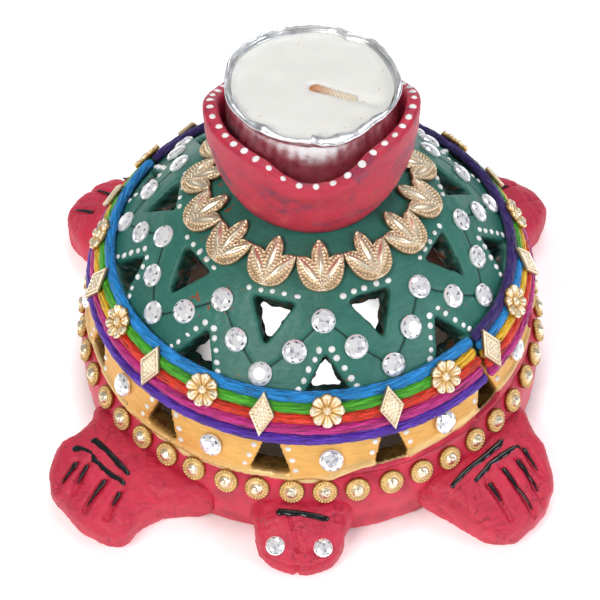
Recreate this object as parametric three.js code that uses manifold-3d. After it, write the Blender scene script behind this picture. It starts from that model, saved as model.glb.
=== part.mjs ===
// A hand-painted clay diya in the shape of a tortoise, with a tealight in the bowl on its back.
// Millimetres, +Z up. The origin is on the shell's axis, at the height of the surface it stands on.
// The head looks along -Y. Angles are in degrees round the shell, 0 at the head and growing
// towards +X.

import * as THREE from 'three';
import { mergeVertices } from 'three/addons/utils/BufferGeometryUtils.js';
import Module from 'manifold-3d';

const wasm = await Module();
wasm.setup();

// ---------------------------------------------------------------- driving dimensions

const GAP = 0.3;                  // left between two pieces that touch
const WALL = 5.5;                 // clay wall of the shell
const SEGMENTS = 60;              // flats round a turned clay piece

// The shell, from the floor up
const BASE_RADIUS = 55.2;         // foot of the base ring
const BASE_BULGE = 0.8;           // how far the base ring swells out at half its height
const BASE_HEIGHT = 18.5;
const SHOULDER_RADIUS = 45.2;     // where the wall turns in to the dome
const WALL_RISE = 21.4;           // from the top of the base ring up to the shoulder
const DOME_RISE = 22.4;           // from the shoulder up to the crown
const WAIST_STEP = 1.4;           // the wall starts this far inside the base ring
const DOME_SEAM = 0.75;           // the dome's edge, as a share of the way up the wall curve

// Cut-outs
const DOME_REPEATS = 9;           // chevrons round the dome
const CHEVRON_START = 4.5;        // angle of the first chevron's point
const UPPER_HOLE_WIDTH = 10.4;
const UPPER_HOLE_HEIGHT = 10.6;
const UPPER_HOLE_PLACE = 0.33;    // share of the way up the dome curve
const LOWER_HOLE_WIDTH = 10.6;
const LOWER_HOLE_HEIGHT = 9;
const LOWER_HOLE_PLACE = 0.092;
const WINDOW_COUNT = 12;          // triangular windows round the waist band
const WINDOW_START = -10;
const WINDOW_WIDTH = 8.6;
const WINDOW_SILL = 1;            // clay left under a window
const WINDOW_TOP_MARGIN = 1.2;    // clay left over its point

// Head, flippers and tail
const LIMB_TOP = 12.6;            // height where a limb meets the base ring
const HEAD_ANGLE = -3;
const HEAD_LENGTH = 14.8;         // how far it reaches past the foot of the base ring
const HEAD_WIDTH = 23.5;
const TAIL_LENGTH = 14.8;
const TAIL_WIDTH = 13;
const TAIL_HEIGHT = 8;
const FLIPPER_WIDTH = 30;
const FLIPPER_TIP_HEIGHT = 9;
const TOE_GROOVE_WIDTH = 1;
const TOE_GROOVE_DEPTH = 1.6;
const TOE_GROOVE_LENGTH = 9;
const TOE_GROOVE_INSET = 5.5;     // from the end of a flipper in to the middle of its grooves
const FLIPPERS = [
  { name: 'flipper_front_left', angle: -45, length: 22.8 },
  { name: 'flipper_front_right', angle: 44, length: 21.3 },
  { name: 'flipper_back_left', angle: -129.5, length: 21.3 },
  { name: 'flipper_back_right', angle: 132, length: 21.8 },
];

// The bowl and what stands in it
const FOOT_RADIUS = 16.3;
const BOWL_RISE = 24.3;           // from the crown up to the rim
const BOWL_WALL = 3.2;            // thickness of the rim
const BOWL_DEPTH = 20.8;          // from the rim down to the middle of the hollow
const BOWL_CLEARANCE = 1.8;       // left round the tealight at the rim
const SEAT_DEPTH = 12.4;          // from the rim down to the ledge that the tealight stands on
const SEAT_WIDTH = 1.9;
const SPOUT_ANGLE = 3;
const SPOUT_SPREAD = 21;          // angle over which the pinched spout fades out
const SPOUT_DIP = 6.2;
const SPOUT_REACH = 2.2;
const TEALIGHT_RADIUS = 19;
const TEALIGHT_HEIGHT = 16;
const CUP_SHEET = 0.4;            // aluminium sheet of the cup
const WAX_BELOW_RIM = 1.9;
const WICK_RADIUS = 0.8;
const WICK_LIE = 10.5;            // length of wick that lies on the wax
const WICK_ANGLE = 70;            // direction in which it lies
const SUSTAINER_RADIUS = 6.3;
const SUSTAINER_HEIGHT = 3.7;

// Cords and trims glued on the shell
const CORD_DIAMETER = 2.1;
const CORD_SIDES = 6;
const CORD_STEP = 7;              // degrees between two sections of a cord
const CORD_TOP_MARGIN = 0.15;     // from the shoulder down to the first cord
const CORD_SPLICE = 50;           // angle where the cords are cut and butted
const TRIM_THICKNESS = 1.2;
const LEAF_COUNT = 14;
const LEAF_SPACING = 0.9;         // left between two leaves
const LEAF_LENGTH = 10.8;
const LEAF_START = 4.6;
const LEAF_PLACE = 0.59;          // share of the way up the dome curve
const TRIM_COUNT = 11;            // flowers, and as many diamonds between them
const FLOWER_START = 3.9;
const FLOWER_DIAMETER = 7.6;
const FLOWER_PETALS = 8;
const DIAMOND_WIDTH = 5.6;
const DIAMOND_HEIGHT = 10.4;
const FLOWER_ROW = 1.6;           // cord rows from the top down to a flower's middle
const DIAMOND_ROW = 2.2;
const EYE_DIAMETER = 4.2;
const EYE_THICKNESS = 1.5;
const EYE_SPACING = 10.8;
const EYE_OUT = 9.8;              // from the foot of the base ring out to the eyes

// ---------------------------------------------------------------- finishes

function finish(color, roughness, metalness = 0) {
  return new THREE.MeshStandardMaterial({ color, roughness, metalness });
}

const greenClay = finish('#3c7d68', 0.6);
const goldClay = finish('#d8a866', 0.45, 0.2);
const redClay = finish('#cb3a53', 0.65);
const aluminium = finish('#d5d7da', 0.25, 1);
const waxWhite = finish('#e3e4df', 0.5);
const cottonWhite = finish('#ddd8cc', 0.9);
const tin = finish('#b9bbbd', 0.35, 1);
const champagne = finish('#d9b27e', 0.3, 1);
const crystal = finish('#e8ecf2', 0.1, 0.6);

// ---------------------------------------------------------------- helpers

const radians = THREE.MathUtils.degToRad;
const model = new THREE.Group();

// The unit vectors of a place round the shell: outwards, and sideways the way angles grow.
function directionsAt(angle) {
  const a = radians(angle);
  return {
    out: new THREE.Vector3(Math.sin(a), -Math.cos(a), 0),
    side: new THREE.Vector3(Math.cos(a), Math.sin(a), 0),
  };
}

// A closed geometry as a solid with its faces outwards.
function solidOf(geometry) {
  const bare = geometry.index ? geometry.toNonIndexed() : geometry.clone();
  bare.deleteAttribute('normal');
  bare.deleteAttribute('uv');
  const merged = mergeVertices(bare, 1e-4);
  const points = merged.attributes.position;
  const triangles = [];
  const index = merged.index.array;
  let volume = 0;
  const [a, b, c] = [new THREE.Vector3(), new THREE.Vector3(), new THREE.Vector3()];
  for (let i = 0; i < index.length; i += 3) {
    const [p, q, r] = [index[i], index[i + 1], index[i + 2]];
    if (p === q || q === r || r === p) continue;
    triangles.push(p, q, r);
    a.fromBufferAttribute(points, p);
    b.fromBufferAttribute(points, q);
    c.fromBufferAttribute(points, r);
    volume += a.dot(b.cross(c));
  }
  if (volume < 0) triangles.reverse();
  return new wasm.Manifold(new wasm.Mesh({
    numProp: 3,
    vertProperties: new Float32Array(points.array),
    triVerts: new Uint32Array(triangles),
  }));
}

// Add a solid to the model as one named piece.
function addPiece(name, solid, material) {
  const result = solid.getMesh();
  const geometry = new THREE.BufferGeometry();
  geometry.setAttribute('position', new THREE.BufferAttribute(result.vertProperties, 3));
  geometry.setIndex(new THREE.BufferAttribute(result.triVerts, 1));
  geometry.computeVertexNormals();
  const mesh = new THREE.Mesh(geometry, material);
  mesh.name = name;
  model.add(mesh);
  return mesh;
}

// Turn a profile of [radius, height] points round the Z axis.
function turned(profile, segments = SEGMENTS) {
  const points = profile.map(([radius, height]) => new THREE.Vector2(radius, height));
  return new THREE.LatheGeometry(points, segments).rotateX(Math.PI / 2);
}

// Extrude a shape that stands in the plane of `across` and `up` along their common normal.
function extrudedOn(shape, depth, origin, across, up, curveSegments = 4) {
  const geometry = new THREE.ExtrudeGeometry(shape, { depth, bevelEnabled: false, curveSegments });
  const normal = across.clone().cross(up);
  const place = new THREE.Matrix4().makeBasis(across, up, normal).setPosition(origin);
  return geometry.applyMatrix4(place);
}

function polygon(points) {
  return new THREE.Shape(points.map(([x, y]) => new THREE.Vector2(x, y)));
}

// ---------------------------------------------------------------- the shell's outline

const WAIST_RADIUS = BASE_RADIUS - WAIST_STEP;
const SHOULDER_HEIGHT = BASE_HEIGHT + WALL_RISE;
const CROWN_HEIGHT = SHOULDER_HEIGHT + DOME_RISE;

// Radius and height of the outer face: the wall from the base ring to the shoulder, then the dome.
const wallCurve = new THREE.CubicBezierCurve(
  new THREE.Vector2(WAIST_RADIUS, BASE_HEIGHT + GAP),
  new THREE.Vector2(WAIST_RADIUS - 0.8, BASE_HEIGHT + 0.33 * WALL_RISE),
  new THREE.Vector2(SHOULDER_RADIUS + 5.8, BASE_HEIGHT + 0.68 * WALL_RISE),
  new THREE.Vector2(SHOULDER_RADIUS, SHOULDER_HEIGHT),
);
const domeCurve = new THREE.CubicBezierCurve(
  new THREE.Vector2(SHOULDER_RADIUS, SHOULDER_HEIGHT),
  new THREE.Vector2(0.82 * SHOULDER_RADIUS, SHOULDER_HEIGHT + 0.4 * DOME_RISE),
  new THREE.Vector2(0.53 * SHOULDER_RADIUS, CROWN_HEIGHT + 0.05 * DOME_RISE),
  new THREE.Vector2(0, CROWN_HEIGHT),
);

// A point of a curve and its directions in the (radius, height) plane.
function onCurve(curve, share) {
  const point = curve.getPoint(share);
  const along = curve.getTangent(share);
  return { point, along, normal: new THREE.Vector2(along.y, -along.x) };
}

// [radius, height] of the point that lies `depth` inside the outer face.
function inset(curve, share, depth) {
  const { point, normal } = onCurve(curve, share);
  return [Math.max(0, point.x - depth * normal.x), point.y - depth * normal.y];
}

// The place on the shell at an angle: a point `lift` outside the face, and the local directions.
function placeOn(curve, share, angle, lift = 0) {
  const { point, along, normal } = onCurve(curve, share);
  const { out, side } = directionsAt(angle);
  const up = new THREE.Vector3(0, 0, 1);
  const lifted = point.clone().addScaledVector(normal, lift);
  return {
    origin: out.clone().multiplyScalar(lifted.x).addScaledVector(up, lifted.y),
    across: side,
    upslope: out.clone().multiplyScalar(along.x).addScaledVector(up, along.y),
    outward: out.clone().multiplyScalar(normal.x).addScaledVector(up, normal.y),
  };
}

// Share of the dome curve at a radius, found by halving.
function domeShareAt(radius) {
  let [low, high] = [0, 1];
  for (let i = 0; i < 40; i += 1) {
    const middle = (low + high) / 2;
    if (domeCurve.getPoint(middle).x > radius) {
      low = middle;
    } else {
      high = middle;
    }
  }
  return low;
}

// Evenly spaced shares from one to another, both included.
function shares(from, to, count) {
  return Array.from({ length: count }, (_, i) => from + (to - from) * i / (count - 1));
}

// ---------------------------------------------------------------- clay shell

// A triangle of the given width and height about its own middle; `tip` is 1 up and -1 down.
function triangle(width, height, tip) {
  return polygon([
    [-width / 2, -tip * height / 2],
    [width / 2, -tip * height / 2],
    [0, tip * height / 2],
  ]);
}

// A cutter through the shell's wall, square to its face.
function holeCutter(shape, curve, share, angle) {
  const place = placeOn(curve, share, angle);
  const start = place.origin.clone().addScaledVector(place.outward, -3 * WALL);
  return solidOf(extrudedOn(shape, 4 * WALL, start, place.across, place.upslope));
}

function makeDome() {
  const outer = [
    ...shares(DOME_SEAM, 1, 3).map((s) => inset(wallCurve, s, 0)),
    ...shares(0.17, 1, 6).map((s) => inset(domeCurve, s, 0)),
  ];
  const inner = [
    ...shares(1, 0.17, 5).map((s) => inset(domeCurve, s, WALL)),
    ...shares(1, DOME_SEAM, 2).map((s) => inset(wallCurve, s, WALL)),
  ];
  let dome = solidOf(turned([...outer, ...inner, outer[0]]));
  const upper = triangle(UPPER_HOLE_WIDTH, UPPER_HOLE_HEIGHT, -1);
  const lower = triangle(LOWER_HOLE_WIDTH, LOWER_HOLE_HEIGHT, 1);
  const pitch = 360 / DOME_REPEATS;
  for (let i = 0; i < DOME_REPEATS; i += 1) {
    const point = CHEVRON_START + i * pitch;
    dome = dome.subtract(holeCutter(lower, domeCurve, LOWER_HOLE_PLACE, point));
    dome = dome.subtract(holeCutter(upper, domeCurve, UPPER_HOLE_PLACE, point + pitch / 2));
  }
  addPiece('dome_shell', dome, greenClay);
}

function makeWaistBand() {
  const seam = DOME_SEAM - GAP / wallCurve.getLength();
  const outer = shares(0, seam, 5).map((s) => inset(wallCurve, s, 0));
  const inner = shares(seam, 0, 3).map((s) => inset(wallCurve, s, WALL));
  inner[inner.length - 1][1] = BASE_HEIGHT + GAP;
  let band = solidOf(turned([...outer, ...inner, outer[0]]));
  const sill = BASE_HEIGHT + GAP + WINDOW_SILL;
  const top = inset(wallCurve, seam, 0)[1] - WINDOW_TOP_MARGIN;
  const window = triangle(WINDOW_WIDTH, top - sill, 1);
  for (let i = 0; i < WINDOW_COUNT; i += 1) {
    const { out, side } = directionsAt(WINDOW_START + i * 360 / WINDOW_COUNT);
    const inmost = SHOULDER_RADIUS - 2 * WALL;
    const start = out.clone().multiplyScalar(inmost).setZ((sill + top) / 2);
    const up = new THREE.Vector3(0, 0, 1);
    band = band.subtract(solidOf(extrudedOn(window, WAIST_RADIUS + WALL - inmost, start, side, up)));
  }
  addPiece('waist_band', band, goldClay);
}

function makeBaseRing() {
  const bulge = BASE_RADIUS + BASE_BULGE;
  const inside = BASE_RADIUS - WALL - WAIST_STEP;
  const ring = [
    [inside, 0],
    [BASE_RADIUS - 1, 0],
    [BASE_RADIUS, 1.2],
    [bulge, 0.45 * BASE_HEIGHT],
    [BASE_RADIUS + 0.3, BASE_HEIGHT - 2],
    [BASE_RADIUS - 0.6, BASE_HEIGHT],
    [inside, BASE_HEIGHT],
    [inside, 0],
  ];
  addPiece('base_ring', solidOf(turned(ring)), redClay);
}

// ---------------------------------------------------------------- head, flippers and tail

const LIMB_ROOT = BASE_RADIUS - WALL;

// A limb is the part that two outlines share: `plan` from above, as [sideways, outwards] points,
// and `side` from the side, as [outwards, height] points. The base ring is cut away from it.
function limb(angle, plan, side) {
  const { out, side: across } = directionsAt(angle);
  const up = new THREE.Vector3(0, 0, 1);
  const tallest = Math.max(...side.map((p) => p[1])) + 1;
  const widest = Math.max(...plan.getPoints().map((p) => Math.abs(p.x))) + 1;
  const above = up.clone().multiplyScalar(tallest);
  const fromAbove = extrudedOn(plan, 2 * tallest, above, across, out, 3);
  const aside = across.clone().multiplyScalar(widest);
  const fromSide = extrudedOn(polygon(side), 2 * widest, aside, out, up);
  const clear = BASE_RADIUS + BASE_BULGE + GAP;
  const ring = turned([[0, -1], [clear, -1], [clear, tallest], [0, tallest]]);
  return solidOf(fromAbove).intersect(solidOf(fromSide)).subtract(solidOf(ring));
}

// A rounded pad from above: `root` wide at the shell, `width` wide near its end.
function padOutline(root, width, reach, corner) {
  const shape = new THREE.Shape();
  const wide = reach - 1.2 * corner;
  shape.moveTo(-root / 2, LIMB_ROOT);
  shape.lineTo(root / 2, LIMB_ROOT);
  shape.quadraticCurveTo(width / 2, 0.5 * (LIMB_ROOT + wide), width / 2, wide);
  shape.quadraticCurveTo(width / 2, reach - 0.15 * corner, width / 2 - corner, reach);
  shape.lineTo(-width / 2 + corner, reach);
  shape.quadraticCurveTo(-width / 2, reach - 0.15 * corner, -width / 2, wide);
  shape.quadraticCurveTo(-width / 2, 0.5 * (LIMB_ROOT + wide), -root / 2, LIMB_ROOT);
  return shape;
}

// The same pad from the side: level at the shell, then sloping down to a blunt end.
function padSide(reach, tipHeight) {
  return [
    [LIMB_ROOT, 0],
    [reach - 1, 0],
    [reach, 1.5],
    [reach, 0.6 * tipHeight],
    [reach - 2.4, tipHeight],
    [BASE_RADIUS + 6, LIMB_TOP - 0.4],
    [LIMB_ROOT, LIMB_TOP],
  ];
}

function makeFlipper({ name, angle, length }) {
  const reach = BASE_RADIUS + length;
  const plan = padOutline(0.84 * FLIPPER_WIDTH, FLIPPER_WIDTH, reach, 0.3 * FLIPPER_WIDTH);
  let flipper = limb(angle, plan, padSide(reach, FLIPPER_TIP_HEIGHT));
  const { out, side } = directionsAt(angle);
  for (const place of [-0.3, -0.1, 0.1, 0.3]) {
    const groove = new THREE.BoxGeometry(TOE_GROOVE_WIDTH, TOE_GROOVE_LENGTH,
      2 * TOE_GROOVE_DEPTH);
    groove.rotateX(-Math.atan2(LIMB_TOP - FLIPPER_TIP_HEIGHT, reach - BASE_RADIUS));
    groove.rotateZ(Math.PI + radians(angle - 20 * place));
    const middle = out.clone().multiplyScalar(reach - TOE_GROOVE_INSET);
    middle.addScaledVector(side, place * FLIPPER_WIDTH).setZ(FLIPPER_TIP_HEIGHT + 0.8);
    groove.translate(middle.x, middle.y, middle.z);
    flipper = flipper.subtract(solidOf(groove));
  }
  addPiece(name, flipper, redClay);
}

// The top of the snout from above the eyes down to the nose, as [outwards, height].
const HEAD_REACH = BASE_RADIUS + HEAD_LENGTH;
const SNOUT = [
  [LIMB_ROOT, 0],
  [HEAD_REACH - 1, 0],
  [HEAD_REACH, 2.2],
  [HEAD_REACH - 0.4, 4.6],
  [HEAD_REACH - 3, 7],
  [BASE_RADIUS + 3.2, LIMB_TOP],
  [LIMB_ROOT, LIMB_TOP],
];

function makeHead() {
  const plan = padOutline(0.9 * HEAD_WIDTH, HEAD_WIDTH, HEAD_REACH, 0.36 * HEAD_WIDTH);
  let head = limb(HEAD_ANGLE, plan, SNOUT);
  const { out, side } = directionsAt(HEAD_ANGLE);
  const [brow, nose] = [new THREE.Vector2(...SNOUT[5]), new THREE.Vector2(...SNOUT[4])];
  const slope = nose.clone().sub(brow).normalize();
  const outward = out.clone().multiplyScalar(-slope.y).setZ(slope.x);
  const eyeReach = BASE_RADIUS + EYE_OUT;
  const onSlope = brow.y + (eyeReach - brow.x) * slope.y / slope.x;
  for (const [name, hand] of [['eye_left', -1], ['eye_right', 1]]) {
    const middle = out.clone().multiplyScalar(eyeReach).setZ(onSlope);
    middle.addScaledVector(side, hand * EYE_SPACING / 2);
    const place = new THREE.Matrix4().makeBasis(
      side.clone().multiplyScalar(-1), outward, side.clone().cross(outward).negate(),
    );
    const seatDepth = EYE_THICKNESS / 2 + GAP;
    const socket = new THREE.CylinderGeometry(EYE_DIAMETER / 2 + GAP, EYE_DIAMETER / 2 + GAP,
      2 * seatDepth, 12);
    const stone = new THREE.CylinderGeometry(0.3 * EYE_DIAMETER, EYE_DIAMETER / 2,
      EYE_THICKNESS / 2, 12).translate(0, EYE_THICKNESS / 4, 0);
    const stoneFoot = new THREE.CylinderGeometry(EYE_DIAMETER / 2, EYE_DIAMETER / 2,
      EYE_THICKNESS / 2, 12).translate(0, -EYE_THICKNESS / 4, 0);
    for (const piece of [socket, stone, stoneFoot]) {
      piece.applyMatrix4(place);
      piece.translate(middle.x, middle.y, middle.z);
    }
    head = head.subtract(solidOf(socket));
    addPiece(name, solidOf(stone).add(solidOf(stoneFoot)), crystal);
  }
  addPiece('head', head, redClay);
}

function makeTail() {
  const reach = BASE_RADIUS + TAIL_LENGTH;
  const plan = padOutline(TAIL_WIDTH, 0.5 * TAIL_WIDTH, reach, 0.2 * TAIL_WIDTH);
  const side = [
    [LIMB_ROOT, 0],
    [reach - 0.8, 0],
    [reach, 1.2],
    [reach - 1.5, 0.4 * TAIL_HEIGHT],
    [BASE_RADIUS + 2, TAIL_HEIGHT],
    [LIMB_ROOT, TAIL_HEIGHT],
  ];
  addPiece('tail', limb(180, plan, side), redClay);
}

// ---------------------------------------------------------------- bowl

const BOWL_RIM_HEIGHT = CROWN_HEIGHT + BOWL_RISE;
const BOWL_RIM_RADIUS = TEALIGHT_RADIUS + BOWL_CLEARANCE + BOWL_WALL;
const SEAT_HEIGHT = BOWL_RIM_HEIGHT - SEAT_DEPTH;
const TEALIGHT_FOOT = SEAT_HEIGHT + GAP;
const TEALIGHT_TOP = TEALIGHT_FOOT + TEALIGHT_HEIGHT;

// How much of the spout there is at a point of the bowl: 1 at the lip of the spout, 0 away from it.
function spoutAt(x, y, height) {
  const angle = THREE.MathUtils.radToDeg(Math.atan2(x, -y)) - SPOUT_ANGLE;
  const turn = Math.exp(-((angle / SPOUT_SPREAD) ** 2));
  return turn * THREE.MathUtils.smoothstep(height, SEAT_HEIGHT, BOWL_RIM_HEIGHT);
}

function makeBowl() {
  const foot = shares(1, domeShareAt(FOOT_RADIUS), 4).map((s) => inset(domeCurve, s, -GAP));
  const [footRadius, footHeight] = foot[foot.length - 1];
  const rise = BOWL_RIM_HEIGHT - footHeight;
  const flare = BOWL_RIM_RADIUS - footRadius;
  const hollowRadius = TEALIGHT_RADIUS + GAP;
  const inRim = BOWL_RIM_RADIUS - BOWL_WALL;
  const floor = BOWL_RIM_HEIGHT - BOWL_DEPTH;
  const profile = [
    ...foot,
    [footRadius + 0.14 * flare, footHeight + 0.1 * rise],
    [footRadius + 0.5 * flare, footHeight + 0.32 * rise],
    [footRadius + 0.83 * flare, footHeight + 0.6 * rise],
    [BOWL_RIM_RADIUS, footHeight + 0.86 * rise],
    [BOWL_RIM_RADIUS - 0.15 * BOWL_WALL, BOWL_RIM_HEIGHT - 0.4],
    [BOWL_RIM_RADIUS - 0.5 * BOWL_WALL, BOWL_RIM_HEIGHT],
    [inRim, BOWL_RIM_HEIGHT - 0.7],
    [hollowRadius, SEAT_HEIGHT],
    [hollowRadius - SEAT_WIDTH, SEAT_HEIGHT],
    [0.8 * hollowRadius, floor + 0.45 * (SEAT_HEIGHT - floor)],
    [0.45 * hollowRadius, floor + 0.06 * (SEAT_HEIGHT - floor)],
    [0, floor],
  ];
  const geometry = turned(profile);
  const points = geometry.attributes.position;
  for (let i = 0; i < points.count; i += 1) {
    const [x, y, z] = [points.getX(i), points.getY(i), points.getZ(i)];
    const radius = Math.hypot(x, y);
    const spout = spoutAt(x, y, z);
    if (radius > 1 && spout > 0) {
      const wider = 1 + SPOUT_REACH * spout / radius;
      points.setXYZ(i, x * wider, y * wider, z - SPOUT_DIP * spout);
    }
  }
  addPiece('diya_bowl', solidOf(geometry), redClay);
}

// ---------------------------------------------------------------- tealight

function makeTealight() {
  const foot = TEALIGHT_FOOT;
  const floor = foot + CUP_SHEET;
  const inside = TEALIGHT_RADIUS - CUP_SHEET;
  const cup = [
    [0, foot],
    [TEALIGHT_RADIUS - 1, foot],
    [TEALIGHT_RADIUS, foot + 1],
    [TEALIGHT_RADIUS, TEALIGHT_TOP],
    [inside, TEALIGHT_TOP],
    [inside, foot + 1 + 0.4 * CUP_SHEET],
    [inside - 1 + 0.4 * CUP_SHEET, floor],
    [0, floor],
  ];
  addPiece('tealight_cup', solidOf(turned(cup, 48)), aluminium);

  const wickHole = WICK_RADIUS + GAP;
  const clipFoot = floor + GAP;
  const clipSheet = 0.5;
  const collar = wickHole + 0.8;
  const clip = [
    [wickHole, clipFoot],
    [SUSTAINER_RADIUS, clipFoot],
    [SUSTAINER_RADIUS, clipFoot + clipSheet],
    [collar, clipFoot + clipSheet],
    [collar, clipFoot + SUSTAINER_HEIGHT],
    [wickHole, clipFoot + SUSTAINER_HEIGHT],
    [wickHole, clipFoot],
  ];
  addPiece('wick_sustainer', solidOf(turned(clip, 24)), tin);

  const waxTop = TEALIGHT_TOP - WAX_BELOW_RIM;
  const waxRadius = inside - GAP;
  const wax = [
    [wickHole, clipFoot + SUSTAINER_HEIGHT + GAP],
    [collar + GAP, clipFoot + SUSTAINER_HEIGHT + GAP],
    [collar + GAP, clipFoot + clipSheet + GAP],
    [SUSTAINER_RADIUS + GAP, clipFoot + clipSheet + GAP],
    [SUSTAINER_RADIUS + GAP, clipFoot],
    [waxRadius - 1, clipFoot],
    [waxRadius, clipFoot + 1],
    [waxRadius, waxTop],
    [wickHole, waxTop],
    [wickHole, clipFoot + SUSTAINER_HEIGHT + GAP],
  ];
  addPiece('wax', solidOf(turned(wax, 48)), waxWhite);

  const { out } = directionsAt(WICK_ANGLE);
  const lieHeight = waxTop + GAP + WICK_RADIUS;
  const alongWick = (distance, height) => out.clone().multiplyScalar(distance).setZ(height);
  const route = new THREE.CatmullRomCurve3([
    alongWick(0, clipFoot),
    alongWick(0, 0.5 * (clipFoot + waxTop)),
    alongWick(0, waxTop + 0.3),
    alongWick(0.8, lieHeight + 0.5),
    alongWick(0.25 * WICK_LIE, lieHeight + 0.2),
    alongWick(0.6 * WICK_LIE, lieHeight),
    alongWick(WICK_LIE, lieHeight),
  ]);
  addPiece('wick', solidOf(tube(route, WICK_RADIUS, 8, 22)), cottonWhite);
}

// A round tube along a curve.
function tube(route, radius, sides, steps) {
  const section = polygon(Array.from({ length: sides }, (_, i) => {
    const turn = 2 * Math.PI * i / sides;
    return [radius * Math.cos(turn), radius * Math.sin(turn)];
  }));
  return new THREE.ExtrudeGeometry(section, { steps, extrudePath: route, bevelEnabled: false });
}

// ---------------------------------------------------------------- cords

const CORD_PITCH = CORD_DIAMETER + GAP;

// Share of the wall curve at a number of cord rows below the shoulder.
function rowShare(rows) {
  const below = CORD_TOP_MARGIN + rows * CORD_PITCH;
  return wallCurve.getUtoTmapping(1 - below / wallCurve.getLength());
}

// The cords, by row from the top down, from one angle round to another past the back.
const HALF_CUT = 0.5;
const CORDS = [
  { name: 'cord_blue', row: 1, from: -125, to: CORD_SPLICE - HALF_CUT },
  { name: 'cord_dark_purple', row: 1, from: CORD_SPLICE + HALF_CUT, to: 234 },
  { name: 'cord_green', row: 2, from: CORD_SPLICE + HALF_CUT, to: 359 + CORD_SPLICE },
  { name: 'cord_red', row: 3, from: -62, to: CORD_SPLICE - HALF_CUT },
  { name: 'cord_yellow', row: 3, from: CORD_SPLICE + HALF_CUT, to: 297 },
  { name: 'cord_magenta', row: 4, from: CORD_SPLICE + HALF_CUT, to: 359 + CORD_SPLICE },
  { name: 'cord_violet', row: 5, from: -161, to: CORD_SPLICE - HALF_CUT },
  { name: 'cord_pink', row: 5, from: CORD_SPLICE + HALF_CUT, to: 198 },
];
const CORD_COLOURS = {
  cord_blue: '#0a8fd8',
  cord_dark_purple: '#4b2585',
  cord_green: '#5faf2a',
  cord_red: '#e8381c',
  cord_yellow: '#ffb400',
  cord_magenta: '#c02c8a',
  cord_violet: '#5b2ba8',
  cord_pink: '#c9318c',
};

function makeCord({ name, row, from, to }) {
  const share = rowShare(row - 0.5);
  const steps = Math.round((to - from) / CORD_STEP);
  const points = shares(from, to, steps + 1).map(
    (angle) => placeOn(wallCurve, share, angle, GAP + CORD_DIAMETER / 2).origin,
  );
  const route = new THREE.CatmullRomCurve3(points);
  const cord = tube(route, CORD_DIAMETER / 2, CORD_SIDES, steps);
  addPiece(name, solidOf(cord), finish(CORD_COLOURS[name], 0.45));
}

// ---------------------------------------------------------------- gold trims

// A thin flat piece laid on the shell, its underside `lift` above the face.
function addTrim(name, shape, curve, share, angle, lift) {
  const place = placeOn(curve, share, angle, lift);
  const plate = extrudedOn(shape, TRIM_THICKNESS, place.origin, place.across, place.upslope, 3);
  addPiece(name, solidOf(plate), champagne);
}

// A three-petalled leaf, its middle petal towards the bowl.
function leafShape() {
  const ringRadius = domeCurve.getPoint(LEAF_PLACE).x;
  const pitch = 2 * ringRadius * Math.sin(Math.PI / LEAF_COUNT);
  const [w, h] = [(pitch - LEAF_SPACING) / 2, LEAF_LENGTH / 2];
  const shape = new THREE.Shape();
  shape.moveTo(0, -h);
  shape.quadraticCurveTo(w, -0.9 * h, w, 0.35 * h);
  shape.quadraticCurveTo(0.6 * w, 0.3 * h, 0.3 * w, 0.05 * h);
  shape.quadraticCurveTo(0.45 * w, 0.5 * h, 0, h);
  shape.quadraticCurveTo(-0.45 * w, 0.5 * h, -0.3 * w, 0.05 * h);
  shape.quadraticCurveTo(-0.6 * w, 0.3 * h, -w, 0.35 * h);
  shape.quadraticCurveTo(-w, -0.9 * h, 0, -h);
  return shape;
}

function flowerShape() {
  const points = [];
  for (let i = 0; i < 3 * FLOWER_PETALS; i += 1) {
    const turn = 2 * Math.PI * i / (3 * FLOWER_PETALS);
    const radius = FLOWER_DIAMETER / 2 * (i % 3 === 0 ? 0.82 : 1);
    points.push([radius * Math.cos(turn), radius * Math.sin(turn)]);
  }
  return polygon(points);
}

function diamondShape() {
  const [w, h] = [DIAMOND_WIDTH / 2, DIAMOND_HEIGHT / 2];
  return polygon([[0, -h], [w, 0], [0, h], [-w, 0]]);
}

function makeTrims() {
  const leaf = leafShape();
  for (let i = 0; i < LEAF_COUNT; i += 1) {
    const angle = LEAF_START + i * 360 / LEAF_COUNT;
    addTrim(`leaf_${i + 1}`, leaf, domeCurve, LEAF_PLACE, angle, GAP);
  }
  const onCords = CORD_DIAMETER + 2 * GAP;
  const pitch = 360 / TRIM_COUNT;
  for (let i = 0; i < TRIM_COUNT; i += 1) {
    const angle = FLOWER_START + i * pitch;
    addTrim(`flower_${i + 1}`, flowerShape(), wallCurve, rowShare(FLOWER_ROW), angle, onCords);
    addTrim(`diamond_${i + 1}`, diamondShape(), wallCurve, rowShare(DIAMOND_ROW),
      angle + pitch / 2, onCords);
  }
}

// ---------------------------------------------------------------- assembly

makeBaseRing();
makeWaistBand();
makeDome();
makeHead();
FLIPPERS.forEach(makeFlipper);
makeTail();
makeBowl();
makeTealight();
CORDS.forEach(makeCord);
makeTrims();

export default model;
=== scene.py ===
"""A hand-painted clay diya shaped like a tortoise: the looks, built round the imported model.

The file is laid out as an add-on and run as a script. Shapes are worked out in millimetres and put
into meshes in metres. Angles go round the shell in degrees, 0 at the head and growing towards +X.
"""
import math

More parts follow.
